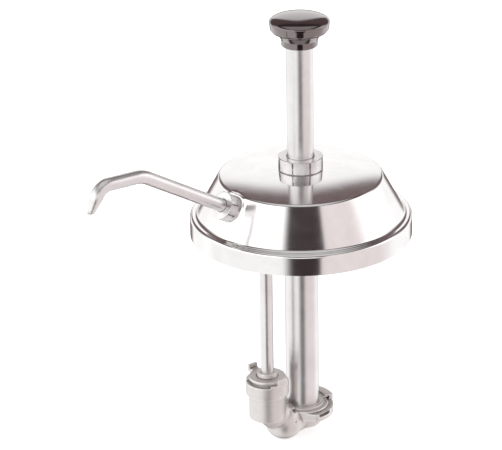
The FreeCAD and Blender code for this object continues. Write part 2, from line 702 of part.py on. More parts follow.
def make_discharge_tube():
    corners = spout_points()
    turns = (Size(90, "90") - size.spout_rise, size.spout_rise - size.arm_rise, size.arm_rise + size.tip_drop)
    radii = (size.inner_bend, size.first_bend, size.second_bend)
    path = [corners[0]]
    arcs = {}
    for corner, angle, radius in zip(range(1, 4), turns, radii):
        back = radius * tangent(angle / 2)
        arcs[len(path)] = radius
        path.append(along(corners[corner], corners[corner - 1], back))
        path.append(along(corners[corner], corners[corner + 1], back))
    # All three bends turn the same way as the tube is followed up from its foot.
    body = new_body("discharge_tube")
    route = new_sketch(body, "tube_route", "YZ_Plane")
    outline(route, path, arcs, closed=False)
    for name, kind, radius in (("tube_outside", "AdditivePipe", size.tube_outer),
                               ("tube_inside", "SubtractivePipe", size.tube_outer - size.tube_wall)):
        section = new_sketch(body, name + "_section", "XY_Plane", size.tube_bottom)
        circle(section, radius, (0, -size.discharge_offset))
        pipe = feature(body, kind, name, section)
        pipe.Spine = (route, [f"Edge{n}" for n in range(1, len(path))])
        doc.recompute()
    # Tapered tip, turned about the last straight of the centreline, then cut level.
    start, end = path[-1], corners[4]
    tip = new_sketch(body, "tip_outline", "YZ_Plane")
    axis = (sine(size.tip_drop), -cosine(size.tip_drop))

    def offset(point, distance):
        return point[0] + axis[0] * distance, point[1] + axis[1] * distance

    spare = 4
    far = along(end, start, -spare)
    wall = size.tube_wall
    outline(tip, [offset(start, size.tube_outer - wall), offset(start, size.tube_outer),
                  offset(far, size.tip_radius), offset(far, size.tip_radius - wall * TIP_THINNING)])
    ends = [Vector(point[0].number, point[1].number, 0) for point in (start, far)]
    line = tip.addGeometry(Part.LineSegment(*ends), True)
    pin_point(tip, line, 1, start)
    pin_point(tip, line, 2, far)
    cone = feature(body, "Revolution", "tip_cone", tip)
    cone.ReferenceAxis = (tip, ["Axis0"])
    cone.Angle = 360
    level = new_sketch(body, "level_cut", "XY_Plane", end[1])
    span = 12
    near_side, far_side = end[0] + span, end[0] - span
    outline(level, [(-span, far_side), (span, far_side), (span, near_side), (-span, near_side)])
    cut = feature(body, "Pocket", "tip_cut", level)
    bind(cut, "Length", span)
    node(body, "discharge_tube")


def make_spout_fittings():
    """Pieces on the spout's axis, from inside the lid to the nut outside."""
    bore = size.tube_outer + size.snug
    back = -size.pad_depth
    gasket_back = back - size.gasket_wall
    flange_back = gasket_back - size.bushing_flange_wall
    thread, flange = size.bushing_thread, size.bushing_flange
    crown_low = size.washer_wall + size.spout_nut_height - size.spout_crown
    ferrule_top = crown_low - size.snug
    ferrule_low = ferrule_top - size.ferrule_wall
    thread_end = ferrule_low - size.snug
    pieces = (
        ("spout_gasket", ring(thread + 0.2, flange, gasket_back, back)),
        ("spout_bushing", [(bore, flange_back), (flange, flange_back), (flange, gasket_back),
                           (thread, gasket_back), (thread, thread_end), (bore, thread_end)]),
        ("spout_washer", ring(thread + 0.2, flange, 0, size.washer_wall)),
        ("spout_ferrule", ring(bore, thread - 0.1, ferrule_low, ferrule_top)),
    )
    for label, points in pieces:
        place_on_spout(turned_body(label, points))
    nut = octagonal_nut("spout_nut", size.spout_flats, size.spout_nut_height,
                        thread + size.running, size.spout_crown, size.tube_outer + size.tube_gap)
    place_on_spout(nut, size.washer_wall)


def make_discharge_fitting():
    """Hub brazed on the tube, with a plug in the small cup and two wings to turn it by."""
    y = -size.discharge_offset
    bore, low, rim = size.tube_outer + size.snug, size.tube_bottom, size.cup_top + 0.2
    plug = size.cup_bore - size.running
    groove = plug - 1.6
    seat, groove_top = low + 1.6, low + 3.6
    hub, collar = rim + size.ear_wall, rim + size.ear_wall + 3.2
    lead = size.lead_in
    brim = plug + 2.2
    blank = new_body("fitting_blank")
    turn(blank, "fitting_turned", [
        (bore, low), (plug - lead, low), (plug, low + lead), (plug, seat),
        (groove, seat), (groove, groove_top), (plug, groove_top), (plug, rim),
        (brim, rim), (brim, hub - lead), (brim - lead, hub),
        (bore + 3.0, hub), (bore + 2.6, collar), (bore, collar)])
    bind(blank, "Placement.Base.y", y)
    wings = []
    for number, middle in enumerate((0, 180)):
        start = middle - WING_SWEEP / 2
        spots = (("wing", hub, bore + 4), ("tab", hub + size.wing_tab, size.wing_reach - size.tab_wall))
        for part, top, inner in spots:
            outer = cylinder(f"{part}_{number}", size.wing_reach, rim, top, (0, y),
                             sector=WING_SWEEP, start=start)
            core = cylinder(f"{part}_core_{number}", inner, rim - 1, top + 1, (0, y))
            wings.append(boolean("Cut", f"{part}_trim_{number}", outer, core))
    node(boolean("Fuse", "fitting_fused", blank, *wings), "discharge_fitting")
    seal = turned_body("discharge_o_ring", o_ring(groove + 0.02, plug + 0.02, seat + 0.2))
    bind(seal, "Placement.Base.y", y)


# ---- valve body ------------------------------------------------------------------------------

def sphere(name, radius, at):
    ball = doc.addObject("Part::Sphere", name)
    bind(ball, "Radius", radius)
    for axis, value in zip("xyz", at):
        bind(ball, f"Placement.Base.{axis}", value)
    return ball


def rod(name, radius, start, end):
    """A cylinder from one (y, z) point to another in the plane x = 0."""
    solid = doc.addObject("Part::Cylinder", name)
    span_y, span_z = end[0] - start[0], end[1] - start[1]
    bind(solid, "Radius", radius)
    bind(solid, "Height", hypotenuse(span_y, span_z))
    tilt = math.degrees(math.atan2(-span_y.number, span_z.number))
    solid.Placement = FreeCAD.Placement(Vector(), FreeCAD.Rotation(X_AXIS, tilt))
    bind(solid, "Placement.Base.y", start[0])
    bind(solid, "Placement.Base.z", start[1])
    return solid


def make_valve_body():
    lobe = (-size.lobe_offset, size.lobe_height)
    cup = (0, -size.discharge_offset)
    neck = (Size(0, "0"), size.flange_bottom)
    wall = size.well_radius + size.well_rim
    flange = boolean("Fuse", "flange_blank",
                     cylinder("well_flange", size.flange_radius, size.flange_bottom, size.flange_top),
                     cylinder("well_wall", wall, size.flange_bottom, size.deck_height))
    outer = [
        boolean("Cut", "flange_flat", flange, front_flat()),
        cylinder("well_boss", size.boss_radius, size.boss_bottom, size.flange_bottom + 1),
        sphere("inlet_lobe", size.lobe_radius, (0, *lobe)),
        rod("lobe_bridge", size.bridge_radius, neck, lobe),
        cylinder("cup_band", size.cup_radius, size.cup_step, size.cup_top, cup),
        cylinder("cup_stem", size.stem_radius, size.stem_bottom, size.cup_step + 1, cup),
        rod("stem_bridge", size.stem_radius - 2, lobe, (cup[1], size.stem_bottom + 6)),
    ]
    casting = boolean("Fuse", "casting", outer[0], *outer[1:])
    room = cylinder("ear_room", size.flange_radius - size.hook_inset, size.deck_height,
                    size.deck_height + size.hook_lip)
    casting = boolean("Cut", "casting_clear", casting, room)
    hooks = []
    for start in HOOK_STARTS:
        post = cylinder(f"hook_post_{start}", size.flange_radius + 0.6, size.flange_bottom + 2,
                        size.deck_height + size.hook_top, sector=HOOK_SWEEP, start=start)
        room = cylinder(f"hook_room_{start}", size.flange_radius - size.hook_inset, size.flange_bottom,
                        size.deck_height + size.hook_lip)
        mouth = cylinder(f"hook_mouth_{start}", size.well_radius + 1.4, size.flange_bottom,
                         size.deck_height + size.hook_top + 1)
        hooks.append(boolean("Cut", f"hook_{start}", post, room, mouth))
    solid = boolean("Fuse", "casting_hooked", casting, *hooks)
    tools = [
        cylinder("well_bore", size.well_radius, size.well_floor, size.deck_height + 9),
        cylinder("sump", size.sump_radius, size.sump_floor, size.well_floor + 1),
        rod("lower_passage", size.port_radius + 1.2, (Size(-2, "(0 - 2)"), size.sump_floor + 4.6), lobe),
        cylinder("inlet_room", size.inlet_chamber, size.inlet_seat, size.lobe_height + 5.4, (0, lobe[0])),
        cylinder("inlet_port", size.port_radius, size.lobe_height - size.lobe_radius - 1, size.inlet_seat + 2,
                 (0, lobe[0])),
        rod("upper_passage", size.port_radius - 0.2, lobe, (cup[1], size.outlet_seat - 1.5)),
        cylinder("outlet_port", size.port_radius, size.outlet_seat - 3.2, size.outlet_seat + 1, cup),
        cylinder("outlet_room", size.outlet_chamber, size.outlet_seat, size.cup_shelf + 1, cup),
        cylinder("cup_socket", size.cup_bore, size.cup_shelf, size.cup_top + 1, cup),
        cross_hole("inlet_pin_hole", pin_height(size.inlet_seat), lobe[0]),
        cross_hole("outlet_pin_hole", pin_height(size.outlet_seat), cup[1]),
        ear_slot(),
    ]
    for number, end in enumerate(RIM_STEP_ENDS):
        step = cylinder(f"rim_step_{number}", size.cup_radius + 3, size.cup_top - size.rim_step,
                        size.cup_top + 2, cup, sector=RIM_STEP_SWEEP, start=end - RIM_STEP_SWEEP)
        tools.append(step)
    node(boolean("Cut", "valve_body_cut", solid, *tools), "valve_body")


def front_flat():
    """The flat milled on the large cup's side, between the spout's side and +X."""
    flat = doc.addObject("Part::Box", "front_flat")
    bind(flat, "Length", size.flange_radius)
    bind(flat, "Width", size.flange_radius * 2)
    bind(flat, "Height", size.flange_top - size.flange_bottom + 4)
    rotation = FreeCAD.Rotation(Z_AXIS, FLAT_ANGLE)
    corner = rotation.multVec(Vector(size.flat_distance.number, -size.flange_radius.number, 0))
    flat.Placement = FreeCAD.Placement(corner + Vector(0, 0, size.flange_bottom.number - 1), rotation)
    return flat


def ear_slot():
    """The slot through the large cup's flange where a foot ear drops in."""
    low, high = size.deck_height - size.slot_low, size.deck_height - size.slot_high
    slot = cylinder("slot_sector", size.flange_radius + 2, low, high, sector=SLOT_SWEEP, start=SLOT_START)
    core = cylinder("slot_core", size.flange_radius - size.slot_depth, low - 1, high + 1)
    return boolean("Cut", "ear_slot", slot, core)


def ball_lift():
    """Height of a ball's centre above the edge it rests on."""
    number = math.sqrt(size.ball_radius.number ** 2 - size.port_radius.number ** 2)
    return Size(number, f"sqrt({size.ball_radius.text}^2 - {size.port_radius.text}^2)")


def pin_height(seat):
    """Axis height of a keeper pin above a ball that has lifted by its travel."""
    return seat + ball_lift() + size.ball_radius + size.ball_travel + size.pin_radius + 0.1


def cross_hole(name, height, y, radius=None, length=60):
    """A hole or pin along X."""
    hole = doc.addObject("Part::Cylinder", name)
    bind(hole, "Radius", radius or size.pin_radius + size.snug)
    bind(hole, "Height", length)
    hole.Placement = FreeCAD.Placement(Vector(), FreeCAD.Rotation(Vector(0, 1, 0), 90))
    bind(hole, "Placement.Base.x", -Size.of(length) / 2)
    bind(hole, "Placement.Base.y", y)
    bind(hole, "Placement.Base.z", height)
    return hole


def make_valves():
    for name, y, seat, length in (("inlet", -size.lobe_offset, size.inlet_seat, 26),
                                  ("outlet", -size.discharge_offset, size.outlet_seat, 26)):
        middle = seat + ball_lift() + 0.02
        node(sphere(f"{name}_ball", size.ball_radius, (0, y, middle)), f"{name}_ball")
        node(cross_hole(f"{name}_pin", pin_height(seat), y, size.pin_radius, length), f"{name}_pin")


# ---- build and write ---------------------------------------------------------------------------

def check_document():
    doc.recompute()
    failed = [f"{thing.Name} {thing.State}" for thing in doc.Objects
              if "Invalid" in thing.State or "Error" in thing.State]
    if failed:
        raise RuntimeError("failed: " + "; ".join(failed))
    for part in nodes:
        if part.Shape.isNull() or not part.Shape.isValid() or not part.Shape.Solids:
            raise RuntimeError(f"{part.Label} has no valid shape")


def write_parts():
    os.makedirs("parts", exist_ok=True)
    for part in nodes:
        part.Shape.exportStep(f"parts/{part.Label}.step")
        print(f"{part.Label:20s} {len(part.Shape.Solids)} solid(s) {part.Shape.Volume:10.1f} mm3")


make_lid()
make_lid_fittings()
make_cylinder()
make_plunger()
make_spring()
make_foot()
make_spider()
make_discharge_tube()
make_spout_fittings()
make_discharge_fitting()
make_valve_body()
make_valves()
check_document()
write_parts()
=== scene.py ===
"""Looks for the condiment pump: dense turned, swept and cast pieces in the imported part's frame."""
import json
import math

import bmesh
import bpy
from mathutils import Matrix, Vector


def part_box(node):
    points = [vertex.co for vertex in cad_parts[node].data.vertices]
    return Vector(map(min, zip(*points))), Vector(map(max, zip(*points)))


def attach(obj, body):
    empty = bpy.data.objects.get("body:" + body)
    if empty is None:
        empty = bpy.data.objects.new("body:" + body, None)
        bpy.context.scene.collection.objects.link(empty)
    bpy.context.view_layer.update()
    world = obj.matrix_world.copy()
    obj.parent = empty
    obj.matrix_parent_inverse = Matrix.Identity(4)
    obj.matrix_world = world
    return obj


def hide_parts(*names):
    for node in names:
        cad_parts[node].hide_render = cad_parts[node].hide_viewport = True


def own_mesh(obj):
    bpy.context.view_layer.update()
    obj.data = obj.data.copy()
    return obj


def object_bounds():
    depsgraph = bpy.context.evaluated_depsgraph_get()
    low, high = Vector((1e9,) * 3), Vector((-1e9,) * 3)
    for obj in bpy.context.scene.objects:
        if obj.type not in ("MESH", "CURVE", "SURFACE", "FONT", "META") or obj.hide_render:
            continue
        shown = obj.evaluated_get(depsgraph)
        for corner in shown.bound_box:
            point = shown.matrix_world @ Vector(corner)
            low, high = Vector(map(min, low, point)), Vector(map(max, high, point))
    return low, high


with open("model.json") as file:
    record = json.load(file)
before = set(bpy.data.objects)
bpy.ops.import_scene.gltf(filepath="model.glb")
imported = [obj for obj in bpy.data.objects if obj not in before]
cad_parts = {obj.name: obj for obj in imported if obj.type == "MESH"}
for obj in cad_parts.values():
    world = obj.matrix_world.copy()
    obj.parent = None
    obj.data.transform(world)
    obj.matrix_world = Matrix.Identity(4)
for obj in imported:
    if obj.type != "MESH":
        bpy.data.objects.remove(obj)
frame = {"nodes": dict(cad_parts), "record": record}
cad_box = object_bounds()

MM = 0.001
TINY = 1e-6
# facets round the lid, the knob, a straight tube, a bent one, the spout's hole, a pin and the wire
LID_ROUND, ROUND, SMALL_ROUND, PIPE_ROUND, HOLE_ROUND, PIN_ROUND, WIRE_ROUND = 400, 256, 128, 64, 96, 32, 14

# ---- places, in millimetres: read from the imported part, or the same as the sizes it was made to --


def low(node):
    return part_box(node)[0] / MM


def high(node):
    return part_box(node)[1] / MM


RIM = high("lid").x                      # outside of the skirt
HUB = high("lid").z                      # flat middle of the dome
SHEET = 0.9                              # thickness of the lid's sheet
LEDGE = 15.5                             # top of the ledge over the can's rim
LEAN = math.radians(28.5)                # the flank's lean from upright
SHOULDER = (59.07, 44.9)                 # corner of flank and dome
DOME = 350.0                             # radius of the domed top
HUB_FLAT, HUB_HOLE = 17.5, 13.3          # the flat middle's radius and its hole's
PLUNGER = high("plunger_tube").x
CYLINDER = high("cylinder_tube").x
TUBE = high("discharge_tube").x
OFFSET = -0.5 * (low("discharge_o_ring").y + high("discharge_o_ring").y)
KNOB = low("knob").z
SEAT = Vector((0, -64.6, 35.5))          # where the spout's washer sits on the flank
RISE = math.radians(30.5)                # the spout's rise
SPOUT = Vector((0, -math.cos(RISE), math.sin(RISE)))
WASHER = 1.2                             # the washer's thickness
STEEL_ROUND = 0.25                       # edge rounding of tubes and washers


# ---- mesh helpers ------------------------------------------------------------------------------


def finish_mesh(name, vertices, faces, matrix=None):
    """A smooth-shaded object from vertices in millimetres, moved by matrix, which is in metres."""
    mesh = bpy.data.meshes.new(name)
    mesh.from_pydata([Vector(v) * MM for v in vertices], [], faces)
    mesh.validate()
    shape = bmesh.new()
    shape.from_mesh(mesh)
    bmesh.ops.recalc_face_normals(shape, faces=shape.faces)
    for face in shape.faces:
        face.smooth = True
    shape.to_mesh(mesh)
    shape.free()
    if matrix is not None:
        mesh.transform(matrix)
    piece = bpy.data.objects.new(name, mesh)
    bpy.context.scene.collection.objects.link(piece)
    return piece


def rings_to_faces(rings, loop):
    """Quads between neighbouring rings of vertex numbers; a ring of one is a pole."""
    faces = []
    pairs = list(zip(rings, rings[1:]))
    if loop:
        pairs.append((rings[-1], rings[0]))
    for near, far in pairs:
        count = max(len(near), len(far))
        if count == 1:
            continue
        for k in range(count):
            n = (k + 1) % count
            corners = [near[k % len(near)], near[n % len(near)],
                       far[n % len(far)], far[k % len(far)]]
            faces.append(list(dict.fromkeys(corners)))
    return faces


MOST_ROUNDED = 0.45                      # share of an edge that a corner's rounding may use up
SUPPORT = 0.35                           # a support point's distance, as a share of the rounding's reach


def soften(points, steps=5):
    """Round the corners of a closed outline of (r, z) or (r, z, rounding) points.

    Each rounding has a support point just outside it, so that flat faces keep a true normal."""
    result = []
    count = len(points)
    for k, point in enumerate(points):
        here = Vector(point[:2])
        rounding = point[2] if len(point) > 2 else 0
        before = Vector(points[k - 1][:2]) - here
        after = Vector(points[(k + 1) % count][:2]) - here
        room = min(before.length, after.length)
        if rounding <= 0 or room < TINY:
            result.append(here)
            continue
        a, b = before.normalized(), after.normalized()
        half = a.angle(b) / 2
        reach = rounding / math.tan(half)
        if reach > room * MOST_ROUNDED:
            reach = room * MOST_ROUNDED
            rounding = reach * math.tan(half)
        centre = here + (a + b).normalized() * (rounding / math.sin(half))
        start, end = here + a * reach, here + b * reach
        spread = math.pi - 2 * half
        first = start - centre
        turn = math.copysign(1, first.x * (end - centre).y - first.y * (end - centre).x)
        support = min(reach * SUPPORT, (room / 2 - reach) / 2)
        result.append(start + a * support)
        for step in range(steps + 1):
            angle = turn * spread * step / steps
            c, s = math.cos(angle), math.sin(angle)
            result.append(centre + Vector((c * first.x - s * first.y, s * first.x + c * first.y)))
        result.append(end + b * support)
    return result


def arc_points(first, last, radius, steps):
    """Points inside an arc that bulges to the left of first to last for a positive radius."""
    first, last = Vector(first), Vector(last)
    chord = last - first
    half = chord.length / 2
    left = Vector((-chord.y, chord.x)).normalized() * math.copysign(1, radius)
    sag = math.sqrt(radius * radius - half * half)
    centre = first + chord / 2 - left * sag
    spread = 2 * math.asin(half / abs(radius))
    turn = -math.copysign(1, radius)
    spoke = first - centre
    found = []
    for step in range(1, steps):
        angle = turn * spread * step / steps
        c, s = math.cos(angle), math.sin(angle)
        found.append(centre + Vector((c * spoke.x - s * spoke.y, s * spoke.x + c * spoke.y)))
    return found


def divide(points, longest):
    """Add points to a closed outline so that no edge is longer than longest."""
    result = []
    for k, here in enumerate(points):
        after = points[(k + 1) % len(points)]
        parts = max(1, math.ceil((after - here).length / longest))
        result += [here.lerp(after, part / parts) for part in range(parts)]
    return result


def turned(name, outline, segments, matrix=None):
    """Revolve a closed outline of (r, z) vectors about Z."""
    vertices, rings = [], []
    for r, z in outline:
        radius, count = (0, 1) if r < TINY else (r, segments)
        rings.append(upright_ring(vertices, lambda angle, radius=radius: radius, z, count))
    return finish_mesh(name, vertices, rings_to_faces(rings, True), matrix)


def ring_outline(inner, outer, bottom, top):
    """A tube's or washer's section with its edges broken."""
    corners = [(inner, bottom), (outer, bottom), (outer, top), (inner, top)]
    return soften([(r, z, STEEL_ROUND) for r, z in corners])


def applied(piece):
    """Bake a piece's modifiers into its mesh."""
    graph = bpy.context.evaluated_depsgraph_get()
    mesh = bpy.data.meshes.new_from_object(piece.evaluated_get(graph))
    piece.modifiers.clear()
    piece.data = mesh
    for polygon in mesh.polygons:
        polygon.use_smooth = True
    return piece


def cut(piece, tool):
    """Take tool's volume out of a piece."""
    change = piece.modifiers.new("cut", "BOOLEAN")
    change.operation = "DIFFERENCE"
    change.solver = "EXACT"
    change.object = tool
    applied(piece)
    bpy.data.objects.remove(tool)
    return piece


def upright_ring(vertices, radius_at, z, count):
    """Add a level ring of points to vertices and give their numbers."""
    start = len(vertices)
    for k in range(count):
        angle = 2 * math.pi * k / count
        r = radius_at(angle)
        vertices.append((r * math.cos(angle), r * math.sin(angle), z))
    return list(range(start, len(vertices)))


def tube_ring(vertices, here, across, up, radius, count):
    """Add a ring of points round here, in the plane of across and up, and give their numbers."""
    start = len(vertices)
    for k in range(count):
        angle = 2 * math.pi * k / count
        vertices.append(here + across * (radius * math.cos(angle)) + up * (radius * math.sin(angle)))
    return list(range(start, len(vertices)))


def spout_matrix(out=0.0):
    """From a piece made on Z to the spout's axis, with z = 0 at the seat plus out (mm)."""
    turn = Matrix.Rotation(math.pi / 2 - RISE, 4, "X")
    return Matrix.Translation((SEAT + SPOUT * out) * MM) @ turn


def place(piece, body, slot, *nodes, finish=None):
    """Attach a new piece to the body it rides on, give it its finish and hide the CAD nodes that it stands
    for.
    """
    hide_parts(*nodes)
    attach(piece, body)
    piece.data.materials.clear()
    piece.data.materials.append(FINISH[finish or slot])
    return piece


# ---- materials ---------------------------------------------------------------------------------


class NodeTree:
    """Short ways to add nodes to self.tree."""

    def add(self, kind, **settings):
        node = self.tree.nodes.new("ShaderNode" + kind)
        for key, value in settings.items():
            setattr(node, key, value)
        return node

    def link(self, source, target):
        self.tree.links.new(source, target)

    def math(self, operation, first, second=0.0):
        """A Math node on numbers or sockets."""
        node = self.add("Math", operation=operation)
        for slot, value in enumerate((first, second)):
            if isinstance(value, (int, float)):
                node.inputs[slot].default_value = value
            else:
                self.link(value, node.inputs[slot])
        return node.outputs[0]

    def spread(self, value, low_in, high_in, low_out, high_out, **settings):
        """Stretch one range of a value onto another."""
        node = self.add("MapRange", **settings)
        for socket, number in zip(("From Min", "From Max", "To Min", "To Max"),
                                  (low_in, high_in, low_out, high_out)):
            node.inputs[socket].default_value = number
        self.link(value, node.inputs["Value"])
        return node.outputs["Result"]


class Look(NodeTree):
    """A node material with a Principled shader and short ways to add texture to it."""

    def __init__(self, name, metallic, **sockets):
        self.material = bpy.data.materials.new(name)
        self.material.use_nodes = True
        self.tree = self.material.node_tree
        self.shader = self.tree.nodes["Principled BSDF"]
        self.shader.inputs["Metallic"].default_value = metallic
        for socket, value in sockets.items():
            self.shader.inputs[socket.replace("_", " ")].default_value = value

    def place(self):
        return self.add("TexCoord").outputs["Object"]

    def round_place(self, across, along, around):
        """Coordinates that run in thin rings round Z: radius, height and angle, each scaled."""
        split = self.add("SeparateXYZ")
        self.link(self.place(), split.inputs[0])
        x, y, z = split.outputs
        squares = self.math("ADD", self.math("MULTIPLY", x, x), self.math("MULTIPLY", y, y))
        radius = self.math("SQRT", squares)
        angle = self.math("ARCTAN2", y, x)
        join = self.add("CombineXYZ")
        self.link(self.math("MULTIPLY", radius, across), join.inputs[0])
        self.link(self.math("MULTIPLY", z, along), join.inputs[1])
        self.link(self.math("MULTIPLY", angle, around), join.inputs[2])
        return join.outputs[0]

    def noise(self, scale, detail, roughness, place=None, distortion=0.0):
        node = self.add("TexNoise")
        node.inputs["Scale"].default_value = scale
        node.inputs["Detail"].default_value = detail
        node.inputs["Roughness"].default_value = roughness
        node.inputs["Distortion"].default_value = distortion
        self.link(place or self.place(), node.inputs["Vector"])
        return node.outputs["Fac"]

    def mixed(self, first, second, share):
        """The two values mixed, with share of the first."""
        return self.math("ADD", self.math("MULTIPLY", first, share),
                         self.math("MULTIPLY", second, 1 - share))

    def colours(self, value, *stops):
        """A ramp of (place, (r, g, b)) stops into the base colour."""
        ramp = self.add("ValToRGB")
        elements = ramp.color_ramp.elements
        while len(elements) < len(stops):
            elements.new(0.5)
        for element, (position, colour) in zip(elements, stops):
            element.position = position
            element.color = (*colour, 1)
        self.link(value, ramp.inputs[0])
        self.link(ramp.outputs[0], self.shader.inputs["Base Color"])

    def roughness(self, value):
        self.link(value, self.shader.inputs["Roughness"])

    def bump(self, height, strength, distance, under=None):
        """Relief of a depth in metres, on top of another bump if under is given."""
        node = self.add("Bump")
        node.inputs["Strength"].default_value = strength
        node.inputs["Distance"].default_value = distance
        self.link(height, node.inputs["Height"])
        if under is not None:
            self.link(under, node.inputs["Normal"])
        self.link(node.outputs[0], self.shader.inputs["Normal"])
        return node.outputs[0]

    def brushed_round(self):
        """The grain's direction follows rings round Z."""
        tangent = self.add("Tangent", direction_type="RADIAL", axis="Z")
        self.link(tangent.outputs[0], self.shader.inputs["Tangent"])


MIDDLE = (0.3, 0.7)                      # the range where most of a noise's values lie
HAIRLINE = 0.00001                       # depth of polishing lines, in metres


def turned_metal(name, dark, bright, smooth, rough, grain, lines, anisotropy, strength):
    """Metal with rings from its turning or spinning, and the odd smudge."""
    look = Look(name, 1.0, Anisotropic=anisotropy)
    rings = look.noise(1.0, 2.0, 0.6, look.round_place(lines, lines, 2.0))
    smudge = look.noise(60.0, 4.0, 0.55, distortion=0.6)
    look.colours(smudge, (0.35, dark), (0.65, bright))
    shine = look.mixed(rings, smudge, grain)
    look.roughness(look.spread(shine, *MIDDLE, smooth, rough))
    look.bump(rings, strength, HAIRLINE)
    look.brushed_round()
    return look.material


def drawn_metal():
    """Bent tube and pins, polished by hand: a fine cloudy haze and no rings."""
    look = Look("drawn_steel_look", 1.0)
    smudge = look.noise(70.0, 4.0, 0.55, distortion=0.6)
    haze = look.noise(500.0, 3.0, 0.6)
    look.colours(smudge, (0.35, (0.78, 0.76, 0.755)), (0.65, (0.84, 0.825, 0.82)))
    look.roughness(look.spread(look.mixed(haze, smudge, 0.5), *MIDDLE, 0.29, 0.38))
    return look.material


def nut_metal():
    """Polished nuts: soft rings on the faces, and a painted shade line down each corner of the sides."""
    look = Look("nut_steel_look", 1.0)
    split = look.add("SeparateXYZ")
    look.link(look.place(), split.inputs[0])
    x, y, _ = split.outputs
    angle = look.math("ARCTAN2", y, x)
    eighths = look.math("MULTIPLY", angle, 4 / math.pi)
    share = look.math("ABSOLUTE", look.math("SUBTRACT", look.math("FRACT", eighths), 0.5))
    facing = look.add("SeparateXYZ")
    look.link(look.add("TexCoord").outputs["Normal"], facing.inputs[0])
    upright = look.spread(look.math("ABSOLUTE", facing.outputs[2]), 0.25, 0.6, 1.0, 0.0)
    smudge = look.noise(160.0, 4.0, 0.55, distortion=0.6)
    rings = look.noise(1.0, 2.0, 0.6, look.round_place(4200.0, 4200.0, 2.0))
    # painted shade: corner marks a thin band down each corner of the side faces, where the base colour is
    # pulled towards the darkest stop
    corner = look.math("MULTIPLY", look.spread(share, 0.065, 0.02, 0.0, 1.0), upright)
    tone = look.math("SUBTRACT", smudge, look.math("MULTIPLY", corner, 0.55))
    look.colours(tone, (0.0, (0.14, 0.12, 0.12)), (0.28, (0.62, 0.60, 0.595)),
                 (0.7, (0.86, 0.845, 0.84)))
    look.roughness(look.spread(smudge, *MIDDLE, 0.24, 0.32))
    look.bump(rings, 0.05, HAIRLINE)
    return look.material


def cast_metal(name, dark, bright, smooth, rough, pits):
    """Tumbled casting: fine orange-peel skin and duller patches, with painted shade in the hollows and
    painted highlights on the edges.
    """
    look = Look(name, 1.0)
    skin = look.noise(1500.0, 4.0, 0.6)
    patch = look.noise(110.0, 5.0, 0.6, distortion=0.8)
    swell = look.noise(260.0, 2.0, 0.5)
    # painted light from the mesh's pointiness: the dark hollow colour is painted shade in creases and
    # hollows, and the brightest stop is a painted highlight on convex edges
    edge = look.spread(look.add("NewGeometry").outputs["Pointiness"], 0.47, 0.525, 0.0, 1.0)
    hollow, painted_edge_highlight = tuple(0.25 * c for c in dark), (0.9, 0.88, 0.87)
    look.colours(look.mixed(patch, edge, 0.4), (0.15, hollow), (0.38, dark), (0.6, bright),
                 (0.85, painted_edge_highlight))
    look.roughness(look.spread(look.mixed(patch, skin, 0.6), *MIDDLE, smooth, rough))
    under = look.bump(swell, 0.12, 0.0003)
    look.bump(skin, pits, 0.00005, under)
    return look.material


def knob_plastic():
    """Glossy phenolic, nearly black, with a faint brown cast, hairlines and handling marks."""
    look = Look("knob_black_look", 0.0, IOR=1.85, Specular_IOR_Level=0.9, Coat_Weight=1.0,
                Coat_Roughness=0.03, Coat_IOR=1.7, Specular_Tint=(1.0, 0.82, 0.8, 1.0))
    smudge = look.noise(90.0, 5.0, 0.6, distortion=1.2)
    hair = look.noise(1.0, 2.0, 0.7, look.round_place(5200.0, 900.0, 9.0))
    look.colours(smudge, (0.3, (0.006, 0.004, 0.004)), (0.7, (0.013, 0.008, 0.008)))
    look.roughness(look.spread(smudge, *MIDDLE, 0.05, 0.11))
    look.bump(hair, 0.04, HAIRLINE)
    return look.material


def rubber():
    """Moulded seal rubber with a dull, slightly dusty bloom."""
    look = Look("seal_rubber_look", 0.0)
    grain = look.noise(1800.0, 4.0, 0.6)
    bloom = look.noise(120.0, 3.0, 0.5)
    look.colours(bloom, (0.35, (0.030, 0.030, 0.031)), (0.7, (0.060, 0.060, 0.062)))
    look.roughness(look.spread(grain, *MIDDLE, 0.55, 0.75))
    look.bump(grain, 0.25, 0.00004)
    return look.material


def bearing():
    """Off-white turned plastic with fine tool rings."""
    look = Look("bearing_plastic_look", 0.0)
    rings = look.noise(1.0, 2.0, 0.5, look.round_place(4000.0, 4000.0, 1.5))
    tone = look.noise(80.0, 3.0, 0.5)
    look.colours(tone, (0.3, (0.72, 0.71, 0.66)), (0.7, (0.82, 0.81, 0.77)))
    look.roughness(look.spread(rings, *MIDDLE, 0.38, 0.52))
    look.bump(rings, 0.2, 0.00002)
    return look.material


FINISH = {
    "steel_satin": turned_metal("lid_steel_look", (0.80, 0.785, 0.78), (0.86, 0.845, 0.84),
                                0.085, 0.15, 0.5, 3800.0, 0.35, 0.05),
    "steel_polished": turned_metal("tube_steel_look", (0.78, 0.76, 0.755), (0.84, 0.825, 0.82),
                                   0.30, 0.37, 0.5, 5200.0, 0.0, 0.05),
    "steel_nut": nut_metal(),
    "steel_drawn": drawn_metal(),
    "steel_cast": cast_metal("cast_steel_look", (0.66, 0.625, 0.605), (0.77, 0.735, 0.715),
                             0.38, 0.52, 0.3),
    "spring_steel": cast_metal("spring_steel_look", (0.50, 0.50, 0.505), (0.62, 0.62, 0.625),
                               0.22, 0.32, 0.1),
    "ball_steel": cast_metal("ball_steel_look", (0.74, 0.74, 0.74), (0.80, 0.80, 0.80),
                             0.06, 0.11, 0.02),
    "brass": turned_metal("brass_look", (0.62, 0.44, 0.17), (0.72, 0.54, 0.25),
                          0.2, 0.3, 0.6, 4200.0, 0.3, 0.1),
    "knob_black": knob_plastic(),
    "bearing_plastic": bearing(),
    "seal_rubber": rubber(),
}

for row in frame["record"]["subparts"]:
    for slot in frame["nodes"][row["node"]].material_slots:
        slot.material = FINISH[row["material_slot"]]


# ---- lid ---------------------------------------------------------------------------------------

